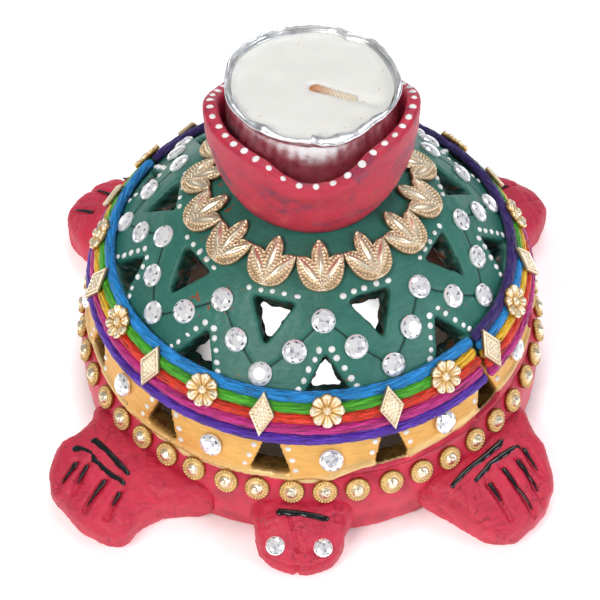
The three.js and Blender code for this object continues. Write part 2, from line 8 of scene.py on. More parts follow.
import bmesh
import bpy
import numpy as np
from bpy.props import FloatProperty, FloatVectorProperty, IntProperty, PointerProperty
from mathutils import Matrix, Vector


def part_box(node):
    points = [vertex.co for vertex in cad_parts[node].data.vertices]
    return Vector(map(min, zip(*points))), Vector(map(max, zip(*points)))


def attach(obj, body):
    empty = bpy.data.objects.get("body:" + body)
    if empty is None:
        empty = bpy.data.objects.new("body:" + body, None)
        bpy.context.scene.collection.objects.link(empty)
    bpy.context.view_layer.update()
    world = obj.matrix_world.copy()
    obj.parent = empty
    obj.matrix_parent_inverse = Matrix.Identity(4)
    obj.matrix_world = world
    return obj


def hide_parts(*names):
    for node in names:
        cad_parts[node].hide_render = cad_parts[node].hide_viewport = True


bl_info = {
    "name": "Tortoise Diya",
    "version": (1, 0, 0),
    "blender": (4, 5, 0),
    "location": "3D View > Sidebar > Diya",
    "description": "Builds a painted clay tortoise diya with silk cords, gilt trims and cut stones",
    "category": "Add Mesh",
}

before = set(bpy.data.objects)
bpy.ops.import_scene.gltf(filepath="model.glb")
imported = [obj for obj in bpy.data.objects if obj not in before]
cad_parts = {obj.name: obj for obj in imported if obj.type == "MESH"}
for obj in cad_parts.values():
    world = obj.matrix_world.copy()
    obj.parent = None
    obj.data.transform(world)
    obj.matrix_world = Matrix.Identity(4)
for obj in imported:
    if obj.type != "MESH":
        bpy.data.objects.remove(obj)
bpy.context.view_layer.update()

MM = 0.001
UP = np.array([0, 0, 1.0])


# ---------------------------------------------------------------- sizes taken from the frame

def box_mm(node):
    """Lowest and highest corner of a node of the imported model, in millimetres."""
    low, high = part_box(node)
    return np.array(low) / MM, np.array(high) / MM


# Lengths are in millimetres, angles in degrees, and shares run from 0 to 1 along a curve.
BASE_HEIGHT = box_mm("base_ring")[1][2]
BASE_BULGE = 0.8        # how far the ring swells at half its height
BASE_RADIUS = box_mm("base_ring")[1][0] - BASE_BULGE
CROWN_HEIGHT = box_mm("dome_shell")[1][2]
RIM_HEIGHT = box_mm("diya_bowl")[1][2]
CUP_LOW, CUP_HIGH = box_mm("tealight_cup")
WAX_LOW, WAX_HIGH = box_mm("wax")

GAP = 0.3               # between clay pieces that are luted together
WALL = 5.5
WAIST_RADIUS = BASE_RADIUS - 1.4
SHOULDER_RADIUS = 45.2
SHOULDER_HEIGHT = BASE_HEIGHT + 21.4
DOME_SEAM = 0.75        # share of the wall curve where the band ends and the dome begins
CHEVRONS = 9
CHEVRON_START = 4.5
WINDOWS = 12
WINDOW_START = -10
WINDOW_WIDTH = 9.6
LEAVES = 14
LEAF_START = 4.6
LEAF_PLACE = 0.59       # share of the dome curve
LEAF_LENGTH = 11.8
LEAF_SPACING = 0.3
FLOWERS = 11            # and as many diamonds between them
FLOWER_START = 3.9
FLOWER_WIDTH = 7.8
DIAMOND_WIDTH = 5.8
DIAMOND_LENGTH = 10.6

# Radius and height of the shell's outer face: the wall up to the shoulder, then the dome.
WALL_CURVE = (
    (WAIST_RADIUS, BASE_HEIGHT + GAP),
    (WAIST_RADIUS - 0.8, BASE_HEIGHT + 0.33 * (SHOULDER_HEIGHT - BASE_HEIGHT)),
    (SHOULDER_RADIUS + 5.8, BASE_HEIGHT + 0.68 * (SHOULDER_HEIGHT - BASE_HEIGHT)),
    (SHOULDER_RADIUS, SHOULDER_HEIGHT),
)
DOME_CURVE = (
    (SHOULDER_RADIUS, SHOULDER_HEIGHT),
    (0.82 * SHOULDER_RADIUS, SHOULDER_HEIGHT + 0.4 * (CROWN_HEIGHT - SHOULDER_HEIGHT)),
    (0.53 * SHOULDER_RADIUS, CROWN_HEIGHT + 0.05 * (CROWN_HEIGHT - SHOULDER_HEIGHT)),
    (0, CROWN_HEIGHT),
)


# ---------------------------------------------------------------- colours

def linear(hex_colour):
    """An sRGB hex colour as linear red, green, blue."""
    values = [int(hex_colour[i:i + 2], 16) / 255 for i in (1, 3, 5)]
    return tuple(v / 12.92 if v <= 0.04045 else ((v + 0.055) / 1.055) ** 2.4 for v in values)


def colour_property(name, hex_colour, description):
    """A colour that a user can change, given as sRGB hex."""
    return FloatVectorProperty(name=name, description=description, subtype="COLOR", size=3,
                               min=0, max=1, default=linear(hex_colour))


def length_property(name, millimetres, description):
    """A length that a user can change, given in millimetres and kept in metres."""
    return FloatProperty(name=name, description=description, unit="LENGTH", min=0,
                         default=millimetres * MM, precision=4)


class DiyaSizes(bpy.types.PropertyGroup):
    """Sizes and numbers of the pieces that are only in the looks."""

    stone_width: length_property("Stone", 5.5, "Diameter of a cut stone on the shell")
    eye_width: length_property("Eye", 4.4, "Diameter of the stones that are the eyes")
    stud_width: length_property("Stud", 5.7, "Diameter of a round gilt stud")
    stud_height: length_property("Stud height", 15.4, "Height of the studs' middles off the floor")
    stud_count: IntProperty(name="Studs", description="Studs round the base ring", default=45, min=1)
    dot_width: length_property("Dot", 1.45, "Diameter of a painted dot")
    cord_width: length_property("Cord", 2.45, "Thickness of a silk cord")
    clay_voxel: length_property("Clay detail", 0.5, "Mesh size of the pierced clay pieces")
    clay_waviness: length_property("Waviness", 0.22, "How uneven the hand-worked clay is")


class DiyaColours(bpy.types.PropertyGroup):
    """Paint, thread and metal colours."""

    red: colour_property("Red paint", "#D02B49", "Base ring, head, flippers and bowl")
    green: colour_property("Green paint", "#2F7365", "Dome")
    gold: colour_property("Gold paint", "#EDB562", "Waist band")
    clay: colour_property("Bare clay", "#7A3B22", "Terracotta where the paint misses")
    white: colour_property("White paint", "#F6F5F2", "Dots")
    black: colour_property("Black paint", "#0A0C0E", "Strokes on the feet and the head")
    champagne: colour_property("Champagne gilt", "#ECD2AB", "Leaves and diamonds")
    gilt: colour_property("Gilt", "#F2C983", "Flowers and studs")
    blue: colour_property("Blue silk", "#0790E0", "Cord")
    purple: colour_property("Dark purple silk", "#351870", "Cord")
    grass: colour_property("Green silk", "#4DB81C", "Cord")
    orange: colour_property("Red-orange silk", "#F0330F", "Cord")
    yellow: colour_property("Yellow silk", "#FFC414", "Cord")
    magenta: colour_property("Magenta silk", "#D0228A", "Cord")
    violet: colour_property("Violet silk", "#5A22B4", "Cord")
    wax: colour_property("Wax", "#EDECE6", "Tealight wax")


# ---------------------------------------------------------------- shapes in numpy

def directions(angle):
    """Unit vectors outwards and sideways at angles round the shell."""
    turn = np.radians(np.asarray(angle, float))
    flat = np.zeros_like(turn)
    out = np.stack([np.sin(turn), -np.cos(turn), flat], -1)
    side = np.stack([np.cos(turn), np.sin(turn), flat], -1)
    return out, side


def bezier(controls, share):
    """Points of a cubic Bezier curve: its four controls weighted by the Bernstein polynomials."""
    t = np.asarray(share, float)[..., None]
    a, b, c, d = (np.array(point, float) for point in controls)
    return (1 - t) ** 3 * a + 3 * t * (1 - t) ** 2 * b + 3 * t ** 2 * (1 - t) * c + t ** 3 * d


def bezier_slope(controls, share):
    """Unit direction of a cubic Bezier curve: its derivative, made one long."""
    t = np.asarray(share, float)[..., None]
    a, b, c, d = (np.array(point, float) for point in controls)
    slope = (1 - t) ** 2 * (b - a) + 2 * t * (1 - t) * (c - b) + t ** 2 * (d - c)
    return slope / np.linalg.norm(slope, axis=-1, keepdims=True)


def inset(controls, share, depth):
    """Radius and height of points `depth` inside the outer face, square to it."""
    slope = bezier_slope(controls, share)
    normal = np.stack([slope[..., 1], -slope[..., 0]], -1)
    return bezier(controls, share) - depth * normal


def shell_frames(controls, share, angle, lift=0.0):
    """Places on the shell: origins lifted off the face, and the across, upslope and outward vectors."""
    share, angle = np.broadcast_arrays(np.asarray(share, float), np.asarray(angle, float))
    point = inset(controls, share, -lift)
    slope = bezier_slope(controls, share)
    out, side = directions(angle)
    up = np.array([0.0, 0.0, 1.0])
    origin = point[..., :1] * out + point[..., 1:] * up
    upslope = slope[..., :1] * out + slope[..., 1:] * up
    outward = slope[..., 1:] * out - slope[..., :1] * up
    return origin, side, upslope, outward


def share_at_radius(controls, radius):
    """Share of the dome curve at which it has a given radius, read off a fine table."""
    table = np.linspace(0, 1, 400)
    radii = bezier(controls, table)[:, 0]
    return np.interp(-np.asarray(radius, float), -radii, table)


def row_share(rows, pitch=2.4, margin=0.15):
    """Share of the wall curve a number of cord rows below the shoulder, by length along the curve."""
    table = np.linspace(0, 1, 400)
    points = bezier(WALL_CURVE, table)
    steps = np.linalg.norm(np.diff(points, axis=0), axis=1)
    from_top = np.concatenate([[0], np.cumsum(steps[::-1])])[::-1]
    return np.interp(-(margin + np.asarray(rows, float) * pitch), -from_top, table)


def laid_on(frames, local):
    """Local points (across, upslope, outward) put onto places: one copy of the shape for each place."""
    origin, across, upslope, outward = (np.atleast_2d(part)[:, None, :] for part in frames)
    x, y, z = (local[..., i][..., None] for i in range(3))
    return origin + x * across + y * upslope + z * outward


def grid_faces(rows, columns, round_columns=True, round_rows=False):
    """Quads between the points of a grid, numbered row by row; either way of it may close on itself."""
    r = np.arange(rows if round_rows else rows - 1)
    c = np.arange(columns if round_columns else columns - 1)
    r, c = np.meshgrid(r, c, indexing="ij")
    r2 = (r + 1) % rows
    c2 = (c + 1) % columns
    quads = np.stack([r * columns + c, r * columns + c2, r2 * columns + c2, r2 * columns + c], -1)
    return quads.reshape(-1, 4)


def repeated(faces, count, points_each):
    """The faces of one shape, numbered on for a number of copies of it."""
    steps = np.arange(count) * points_each
    return (np.asarray(faces)[None, :, :] + steps[:, None, None]).reshape(-1, np.shape(faces)[-1])


def waves(points, size, seed, octaves=3):
    """Smooth lumps from -1 to 1: sines along fixed random directions, finer and weaker each octave."""
    random = np.random.default_rng(seed)
    total = np.zeros(points.shape[:-1])
    for octave in range(octaves):
        for _ in range(5):
            direction = random.normal(size=3)
            direction *= 2 * math.pi * 1.9 ** octave / size / np.linalg.norm(direction)
            total += 0.55 ** octave * np.sin(points @ direction + random.uniform(0, 6.28))
    return total / 5


def turned(profile, segments):
    """Carry a profile of (radius, height) points round the axis: a grid of profile rows and angles."""
    profile = np.asarray(profile, float)
    angle = np.arange(segments) * 360 / segments
    out, _ = directions(angle)
    points = profile[:, None, :1] * out[None, :, :]
    points[..., 2] += profile[:, None, 1]
    return points


def polar_relief(outline, height, rings, segments, thickness):
    """A stamped trim. Its outline is a radius for each angle, its top a height for each ring share and
    angle, and its back is flat. Rings run from the middle of the top, over the edge, to the back's
    middle. Returns the points and how high each stands in its relief, 1 from 0.6 of its top up."""
    turn = np.arange(segments) * 2 * math.pi / segments
    radius = outline(turn)
    share = np.concatenate([np.linspace(0, 1, rings), [1.0, 0.0]])
    rho, phi = np.meshgrid(share, turn, indexing="ij")
    reach = rho * radius[None, :]
    x = reach * np.sin(phi)
    y = reach * np.cos(phi)
    top = height(rho, phi, x, y)
    z = thickness + top
    z[rings:] = 0
    relief = np.clip(top / (0.6 * top.max()), 0, 1)
    relief[rings:] = 0
    return np.stack([x, y, z], -1).reshape(-1, 3), relief.ravel()


# ---------------------------------------------------------------- meshes and pieces

def set_values(mesh, key, values):
    """Store a number for each point of a mesh, for its material to read."""
    layer = mesh.attributes.new(key, "FLOAT", "POINT")
    layer.data.foreach_set("value", np.asarray(values, np.float32).ravel())


def new_mesh(name, points, faces, uv=None, values=None):
    """A welded mesh from points in millimetres and rows of vertex numbers. Values are numbers kept for
    each point, and uv is a map named `along`."""
    mesh = bpy.data.meshes.new(name)
    mesh.from_pydata((np.asarray(points).reshape(-1, 3) * MM).tolist(), [], np.asarray(faces).tolist())
    for key, numbers in (values or {}).items():
        set_values(mesh, key, numbers)
    if uv is not None:
        loops = np.zeros(len(mesh.loops), np.int32)
        mesh.loops.foreach_get("vertex_index", loops)
        layer = mesh.uv_layers.new(name="along")
        layer.data.foreach_set("uv", np.asarray(uv, np.float32).reshape(-1, 2)[loops].ravel())
    weld(mesh)
    return mesh


def weld(mesh):
    """Merge points that coincide, drop faces that closed up, and turn every face outwards."""
    work = bmesh.new()
    work.from_mesh(mesh)
    bmesh.ops.remove_doubles(work, verts=work.verts, dist=1e-7)
    bmesh.ops.dissolve_degenerate(work, edges=work.edges, dist=1e-8)
    bmesh.ops.recalc_face_normals(work, faces=work.faces)
    work.to_mesh(mesh)
    work.free()


def add_piece(mesh, material, body="lamp", replaces=(), smooth=True):
    """Show a mesh as a piece that rides on a body of the frame and stands for some of its nodes."""
    piece = bpy.data.objects.new(mesh.name, mesh)
    bpy.context.scene.collection.objects.link(piece)
    mesh.materials.clear()
    mesh.materials.append(material)
    mesh.polygons.foreach_set("use_smooth", np.full(len(mesh.polygons), smooth))
    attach(piece, body)
    if replaces:
        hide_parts(*replaces)


def points_of(mesh):
    """A mesh's points in millimetres."""
    flat = np.zeros(len(mesh.vertices) * 3, np.float32)
    mesh.vertices.foreach_get("co", flat)
    return flat.reshape(-1, 3).astype(float) / MM


def normals_of(mesh):
    """A mesh's point normals."""
    flat = np.zeros(len(mesh.vertices) * 3, np.float32)
    mesh.vertex_normals.foreach_get("vector", flat)
    return flat.reshape(-1, 3).astype(float)


def move_points(mesh, points):
    """Put new places, in millimetres, into a mesh."""
    mesh.vertices.foreach_set("co", (points * MM).astype(np.float32).ravel())
    mesh.update()


# ---------------------------------------------------------------- materials

def set_inputs(tree, node, inputs):
    """Give a node's inputs their values. A value may be (node, output), to link from."""
    for socket, value in inputs.items():
        if isinstance(value, tuple) and isinstance(value[0], bpy.types.Node):
            tree.links.new(value[0].outputs[value[1]], node.inputs[socket])
        else:
            node.inputs[socket].default_value = value


def add_node(tree, kind, inputs=None, stops=None, **settings):
    """Add a shader node of a kind, its inputs given as for set_inputs; stops fill a colour ramp."""
    node = tree.nodes.new("ShaderNode" + kind)
    for key, value in settings.items():
        setattr(node, key, value)
    set_inputs(tree, node, inputs or {})
    for i, (place, colour) in enumerate(stops or ()):
        elements = node.color_ramp.elements
        element = elements[i] if i < len(elements) else elements.new(place)
        element.position = place
        element.color = (*colour, 1)
    return node


def new_material(name, **shader):
    """A named material with one Principled shader: its tree, its shader and the object's coordinates."""
    material = bpy.data.materials.new(name)
    material.use_nodes = True
    tree = material.node_tree
    tree.nodes.clear()
    surface = add_node(tree, "BsdfPrincipled", shader)
    add_node(tree, "OutputMaterial", {"Surface": (surface, "BSDF")})
    where = add_node(tree, "TexCoord")
    return material, tree, surface, where


def per_metre(millimetres):
    """Scale of a pattern whose features are this many millimetres across."""
    return 1 / (millimetres * MM)


def shaded(colour, factor):
    """A colour made lighter or darker."""
    return tuple(min(1.0, channel * factor) for channel in colour)


def poster_paint(name, colour, clay, roughness, metallic=0.0, cracks=0.0, grooves=False, wall=False,
                 scuffs=0.0):
    """Poster paint brushed by hand on terracotta: matt, a little streaky, with grains of clay under
    it, darker where it is thin, and specks where it missed. Gold paint carries mica, so it is
    partly metallic. A cut through the wall, and the wall's inner face, are painted dark as painted
    shade, with bare clay showing at the cut's rough edge."""
    material, tree, surface, where = new_material(name, Metallic=metallic)
    spot = (where, "Object")
    # Patches of thicker and thinner paint, about 14 mm across, and brush streaks about 1 mm wide.
    patches = add_node(tree, "TexNoise",
                       {"Vector": spot, "Scale": per_metre(14), "Detail": 4, "Roughness": 0.6})
    stretch = add_node(tree, "Mapping", {"Vector": spot, "Scale": (1, 1, 5)})
    streaks = add_node(tree, "TexNoise",
                       {"Vector": (stretch, 0), "Scale": per_metre(3.2), "Detail": 5, "Distortion": 0.6})
    tone = add_node(tree, "Mix", {0: 0.45, 2: (patches, 0), 3: (streaks, 0)})
    paint = add_node(tree, "ValToRGB", {"Fac": (tone, 0)}, stops=(
        (0.28, shaded(colour, 0.72)),
        (0.5, colour),
        (0.74, shaded(colour, 1.22)),
    ))
    # Specks of missed or knocked paint, about 0.6 mm across and 9 mm apart.
    speck = add_node(tree, "TexNoise",
                     {"Vector": spot, "Scale": per_metre(1.3), "Detail": 2, "Roughness": 0.7})
    rare = add_node(tree, "Math", {0: (speck, 0), 1: (patches, 0)}, operation="MULTIPLY")
    missed = add_node(tree, "MapRange", {"Value": (rare, 0), 1: 0.4, 2: 0.43})
    base = add_node(tree, "Mix", {0: (missed, 0), 6: (paint, 0), 7: (*shaded(clay, 1.6), 1)},
                    data_type="RGBA")
    if scuffs:
        # Blue-black rubbed in from handling and from the next coat, in blots about 12 mm across.
        blot = add_node(tree, "TexNoise",
                        {"Vector": spot, "Scale": per_metre(13), "Detail": 7, "Roughness": 0.72,
                         "Distortion": 0.5})
        rubbed = add_node(tree, "MapRange", {"Value": (blot, 0), 1: 0.53, 2: 0.64, 4: scuffs})
        base = add_node(tree, "Mix",
                        {0: (rubbed, 0), 6: (base, 2), 7: (*linear("#46304F"), 1)}, data_type="RGBA")
    # Clay grain about 0.5 mm and brush ridges give the relief.
    grain = add_node(tree, "TexNoise",
                     {"Vector": spot, "Scale": per_metre(0.9), "Detail": 6, "Roughness": 0.65})
    height = add_node(tree, "Mix", {0: 0.4, 2: (grain, 0), 3: (streaks, 0)})
    if cracks:
        # Drying cracks in the pinched clay: where a wandering noise, its swells about 7 mm across,
        # crosses its own middle value, and only in some patches.
        drift = add_node(tree, "TexNoise",
                         {"Vector": spot, "Scale": per_metre(7), "Detail": 4, "Distortion": 1.4})
        middle = add_node(tree, "Math", {0: (drift, 0), 1: 0.5}, operation="SUBTRACT")
        off = add_node(tree, "Math", {0: (middle, 0)}, operation="ABSOLUTE")
        line = add_node(tree, "MapRange", {"Value": (off, 0), 1: 0.001, 2: 0.009})
        some = add_node(tree, "MapRange", {"Value": (patches, 0), 1: 0.5, 2: 0.56})
        solid = add_node(tree, "Math", {0: (line, 0), 1: (some, 0)}, operation="MAXIMUM")
        base = add_node(tree, "Mix", {0: (solid, 0), 6: (*shaded(colour, 0.42), 1), 7: (base, 2)},
                        data_type="RGBA")
        sunk = add_node(tree, "Math", {0: (solid, 0), 1: cracks}, operation="MULTIPLY")
        height = add_node(tree, "Math", {0: (height, 0), 1: (sunk, 0)}, operation="ADD")
    if grooves:
        # The scored line is painted dark: painted shade in the groove.
        line = chevron_groove(tree, spot)
        base = add_node(tree, "Mix", {0: (line, 0), 6: (*shaded(colour, 0.22), 1), 7: (base, 2)},
                        data_type="RGBA")
        sunk = add_node(tree, "Math", {0: (line, 0), 1: 1.6}, operation="MULTIPLY")
        height = add_node(tree, "Math", {0: (height, 0), 1: (sunk, 0)}, operation="ADD")
    if wall:
        # Painted shade: deeper than about 2 mm under the outer face the paint turns dark, with streaks
        # of darkened bare clay.
        depth = add_node(tree, "Attribute", attribute_name="depth")
        frayed = add_node(tree, "Math", {0: (grain, 0), 1: 2.4}, operation="MULTIPLY")
        inward = add_node(tree, "Math", {0: (depth, 2), 1: (frayed, 0)}, operation="ADD")
        inside = add_node(tree, "MapRange", {"Value": (inward, 0), 1: 1.6, 2: 3.2})
        hollow = add_node(tree, "ValToRGB", {"Fac": (streaks, 0)}, stops=(
            (0.35, shaded(colour, 0.12)),
            (0.55, shaded(colour, 0.3)),
            (0.68, shaded(clay, 0.8)),
        ))
        base = add_node(tree, "Mix", {0: (inside, 0), 6: (base, 2), 7: (hollow, 0)}, data_type="RGBA")
    shine = add_node(tree, "MapRange", {"Value": (tone, 0), 3: roughness + 0.12, 4: roughness - 0.12})
    bump = add_node(tree, "Bump", {"Height": (height, 0), "Strength": 0.55, "Distance": 0.35 * MM})
    set_inputs(tree, surface, {"Base Color": (base, 2), "Roughness": (shine, 0), "Normal": (bump, 0)})
    return material


MICA = 0.45             # how metallic the gold paint is


def painted_edge(name, colours, wall=False):
    """The red ring and the gold band are one paint job: gold is carried down over the joint to an
    uneven line, and red begins under it. Points of both pieces hold their height over that line in
    millimetres; noise frays it by half a millimetre. Gold carries mica, red doesn't."""
    material = poster_paint(name, tuple(colours.gold), tuple(colours.clay), 0.38, MICA, wall=wall)
    tree = material.node_tree
    surface = next(node for node in tree.nodes if node.type == "BSDF_PRINCIPLED")
    gold = surface.inputs["Base Color"].links[0].from_node
    where = add_node(tree, "TexCoord")
    fray = add_node(tree, "TexNoise", {"Vector": (where, "Object"), "Scale": per_metre(5), "Detail": 4})
    above = add_node(tree, "Attribute", attribute_name="above_edge")
    wobble = add_node(tree, "Math", {0: (fray, 0), 1: 2.4, 2: -1.2}, operation="MULTIPLY_ADD")
    level = add_node(tree, "Math", {0: (above, 2), 1: (wobble, 0)}, operation="ADD")
    is_gold = add_node(tree, "MapRange", {"Value": (level, 0), 1: -0.15, 2: 0.15})
    red = add_node(tree, "ValToRGB", {"Fac": (fray, 0)}, stops=(
        (0.32, shaded(tuple(colours.red), 0.7)),
        (0.5, tuple(colours.red)),
        (0.72, shaded(tuple(colours.red), 1.2)),
    ))
    # Gold within 2.8 mm over the line is painted paler, most just over it: a painted highlight on the
    # ridge.
    ridge_highlight = add_node(tree, "MapRange", {"Value": (level, 0), 1: 0.6, 2: 2.8, 3: 0.75, 4: 0.0})
    gold_with_highlight = add_node(tree, "Mix", {0: (ridge_highlight, 0), 6: (gold, 2), 7: (*linear("#F6D9A2"), 1)},
                    data_type="RGBA")
    both = add_node(tree, "Mix", {0: (is_gold, 0), 6: (red, 0), 7: (gold_with_highlight, 2)}, data_type="RGBA")
    mica = add_node(tree, "Math", {0: (is_gold, 0), 1: MICA}, operation="MULTIPLY")
    set_inputs(tree, surface, {"Base Color": (both, 2), "Metallic": (mica, 0)})
    return material


def chevron_groove(tree, spot):
    """0 in the line scored along the dome's chevrons and 1 off it. The line's radius grows evenly
    with the angle away from each chevron's point, so it zigzags round the dome."""
    parts = add_node(tree, "SeparateXYZ", {0: spot})
    flipped = add_node(tree, "Math", {0: (parts, 1), 1: -1.0}, operation="MULTIPLY")
    angle = add_node(tree, "Math", {0: (parts, 0), 1: (flipped, 0)}, operation="ARCTAN2")
    half = math.pi / CHEVRONS
    start = math.radians(CHEVRON_START)
    turned_angle = add_node(tree, "Math", {0: (angle, 0), 1: start}, operation="SUBTRACT")
    away = add_node(tree, "Math", {0: (turned_angle, 0), 1: half}, operation="PINGPONG")
    grown = add_node(tree, "Math", {0: (away, 0), 1: 9.6 * MM / half, 2: 33.9 * MM},
                     operation="MULTIPLY_ADD")
    level = add_node(tree, "CombineXYZ", {0: (parts, 0), 1: (parts, 1)})
    radius = add_node(tree, "VectorMath", {0: (level, 0)}, operation="LENGTH")
    off = add_node(tree, "Math", {0: (radius, 1), 1: (grown, 0)}, operation="SUBTRACT")
    gap = add_node(tree, "Math", {0: (off, 0)}, operation="ABSOLUTE")
    return add_node(tree, "MapRange", {"Value": (gap, 0), 1: 0.1 * MM, 2: 0.32 * MM})


def foil_backed_glass():
    """Cut glass on silver foil: hard and bright. Each facet is painted white, grey or nearly black with
    a faint tint, and fine specks on it brighter or darker: painted reflections and glints of the foil
    under it."""
    polish = {"Metallic": 0.35, "Roughness": 0.06, "Coat Weight": 1.0, "Coat Roughness": 0.02}
    material, tree, surface, where = new_material("foil_backed_glass", **polish)
    # Painted reflections: each facet's own brightness, broken by small painted glints.
    facet = add_node(tree, "Attribute", attribute_name="facet")
    painted_glints = add_node(tree, "TexVoronoi", {"Vector": (where, "Object"), "Scale": per_metre(0.7)})
    tone = add_node(tree, "Mix", {0: 0.22, 2: (facet, 2), 3: (painted_glints, 0)})
    colour = add_node(tree, "ValToRGB", {"Fac": (tone, 0)}, stops=(
        (0.17, linear("#24262C")),
        (0.32, linear("#8E96A6")),
        (0.45, linear("#E6E0EA")),
        (0.6, linear("#FFFFFF")),
    ))
    set_inputs(tree, surface, {"Base Color": (colour, 0)})
    return material


def gilt_stamping(name, gilt, recess):
    """Thin sheet stamped and gilt: pale gold, smoother where it is high and rubbed and painted near
    white there as a painted highlight, with a red-brown lacquer left in the recesses."""
    material, tree, surface, where = new_material(name, Metallic=1.0)
    relief = add_node(tree, "Attribute", attribute_name="relief")
    mottle = add_node(tree, "TexNoise",
                      {"Vector": (where, "Object"), "Scale": per_metre(1.4), "Detail": 4})
    lacquer_and_highlight = add_node(tree, "Mix", {0: 0.35, 2: (relief, 2), 3: (mottle, 0)})
    # Lacquer in the lowest relief, gilt in the middle, and a painted highlight near white on the
    # highest.
    colour = add_node(tree, "ValToRGB", {"Fac": (lacquer_and_highlight, 0)}, stops=(
        (0.14, recess),
        (0.3, shaded(gilt, 0.68)),
        (0.48, gilt),
        (0.8, linear("#FFEFD4")),
    ))
    shine = add_node(tree, "MapRange", {"Value": (lacquer_and_highlight, 0), 1: 0.2, 2: 0.8, 3: 0.6, 4: 0.36})
    pits = add_node(tree, "TexNoise",
                    {"Vector": (where, "Object"), "Scale": per_metre(0.5), "Detail": 3})
    bump = add_node(tree, "Bump", {"Height": (pits, 0), "Strength": 0.35, "Distance": 0.15 * MM})
    set_inputs(tree, surface, {"Base Color": (colour, 0), "Roughness": (shine, 0), "Normal": (bump, 0)})
    return material


def silk_thread(name, colour, dyes=()):
    """Stranded silk laid in a bundle: fine threads nearly along the cord, each lighter or darker than
    the next, as painted shade between them and painted highlight along them, with painted glints near
    white and a soft sheen. Real threads are 0.1 mm; they are drawn 0.3 mm wide to show. A dye is
    another colour that the cord has taken on by so many millimetres along it."""
    material, tree, surface, _ = new_material(
        name, Roughness=0.36, **{"Sheen Weight": 0.12, "Sheen Roughness": 0.3})
    along = add_node(tree, "UVMap", uv_map="along")
    parts = add_node(tree, "SeparateXYZ", {0: (along, 0)})
    base = add_node(tree, "Mix", {0: 0.0, 6: (*colour, 1), 7: (*colour, 1)}, data_type="RGBA")
    for other, reached in dyes:
        change = add_node(tree, "MapRange", {"Value": (parts, 0), 1: reached - 4, 2: reached})
        base = add_node(tree, "Mix", {0: (change, 0), 6: (base, 2), 7: (*other, 1)}, data_type="RGBA")
    # The UV map is in millimetres: a thread is about 6 mm long between crossings and 0.3 mm wide.
    laid = add_node(tree, "Mapping",
                    {"Vector": (along, 0), "Rotation": (0, 0, 0.16), "Scale": (0.16, 2.4, 1)})
    threads = add_node(tree, "TexNoise", {
        "Vector": (laid, 0), "Scale": 1.0, "Detail": 5, "Roughness": 0.75, "Distortion": 0.9})
    # Painted shade between the threads and painted highlight along them.
    tone = add_node(tree, "ValToRGB", {"Fac": (threads, 0)}, stops=(
        (0.36, (0.14, 0.14, 0.14)),
        (0.47, (0.8, 0.8, 0.8)),
        (0.56, (1.25, 1.25, 1.25)),
    ))
    threads_shaded_and_lit = add_node(tree, "Mix", {0: 1.0, 6: (base, 2), 7: (tone, 0)},
                    data_type="RGBA", blend_type="MULTIPLY")
    # Painted glints, near white, on the brightest threads.
    glint_mask = add_node(tree, "MapRange", {"Value": (threads, 0), 1: 0.57, 2: 0.68, 4: 0.18})
    lit = add_node(tree, "Mix", {0: (glint_mask, 0), 6: (threads_shaded_and_lit, 2), 7: (0.95, 0.95, 1.0, 1)},
                   data_type="RGBA")
    bump = add_node(tree, "Bump", {"Height": (threads, 0), "Strength": 1.0, "Distance": 0.5 * MM})
    set_inputs(tree, surface, {"Base Color": (lit, 2), "Normal": (bump, 0)})
    return material


def thick_enamel(name, colour, roughness):
    """Enamel squeezed on in thick drops and strokes: smooth and wet-looking, with a skin that
    wrinkled as it dried."""
    material, tree, surface, where = new_material(name, **{"Coat Weight": 0.25, "Coat Roughness": 0.06})
    skin = add_node(tree, "TexNoise", {
        "Vector": (where, "Object"), "Scale": per_metre(3.2), "Detail": 1, "Distortion": 0.3})
    tone = add_node(tree, "ValToRGB", {"Fac": (skin, 0)}, stops=(
        (0.35, shaded(colour, 0.85)),
        (0.65, shaded(colour, 1.1)),
    ))
    shine = add_node(tree, "MapRange",
                     {"Value": (skin, 0), 1: 0.3, 2: 0.7, 3: roughness, 4: roughness + 0.12})
    bump = add_node(tree, "Bump", {"Height": (skin, 0), "Strength": 0.2, "Distance": 0.3 * MM})
    set_inputs(tree, surface, {"Base Color": (tone, 0), "Roughness": (shine, 0), "Normal": (bump, 0)})
    return material


def pressed_sheet(name, colour, roughness, crinkle):
    """Thin bright metal sheet pressed and handled: a mirror broken up by small dents and creases."""
    material, tree, surface, where = new_material(name, Metallic=1.0)
    dents = add_node(tree, "TexNoise",
                     {"Vector": (where, "Object"), "Scale": per_metre(2.5), "Detail": 3})
    tone = add_node(tree, "ValToRGB", {"Fac": (dents, 0)}, stops=(
        (0.35, shaded(colour, 0.8)),
        (0.6, colour),
    ))
    shine = add_node(tree, "MapRange",
                     {"Value": (dents, 0), 1: 0.35, 2: 0.65, 3: roughness, 4: roughness + 0.12})
    bump = add_node(tree, "Bump", {"Height": (dents, 0), "Strength": crinkle, "Distance": 0.5 * MM})
    set_inputs(tree, surface, {"Base Color": (tone, 0), "Roughness": (shine, 0), "Normal": (bump, 0)})
    return material


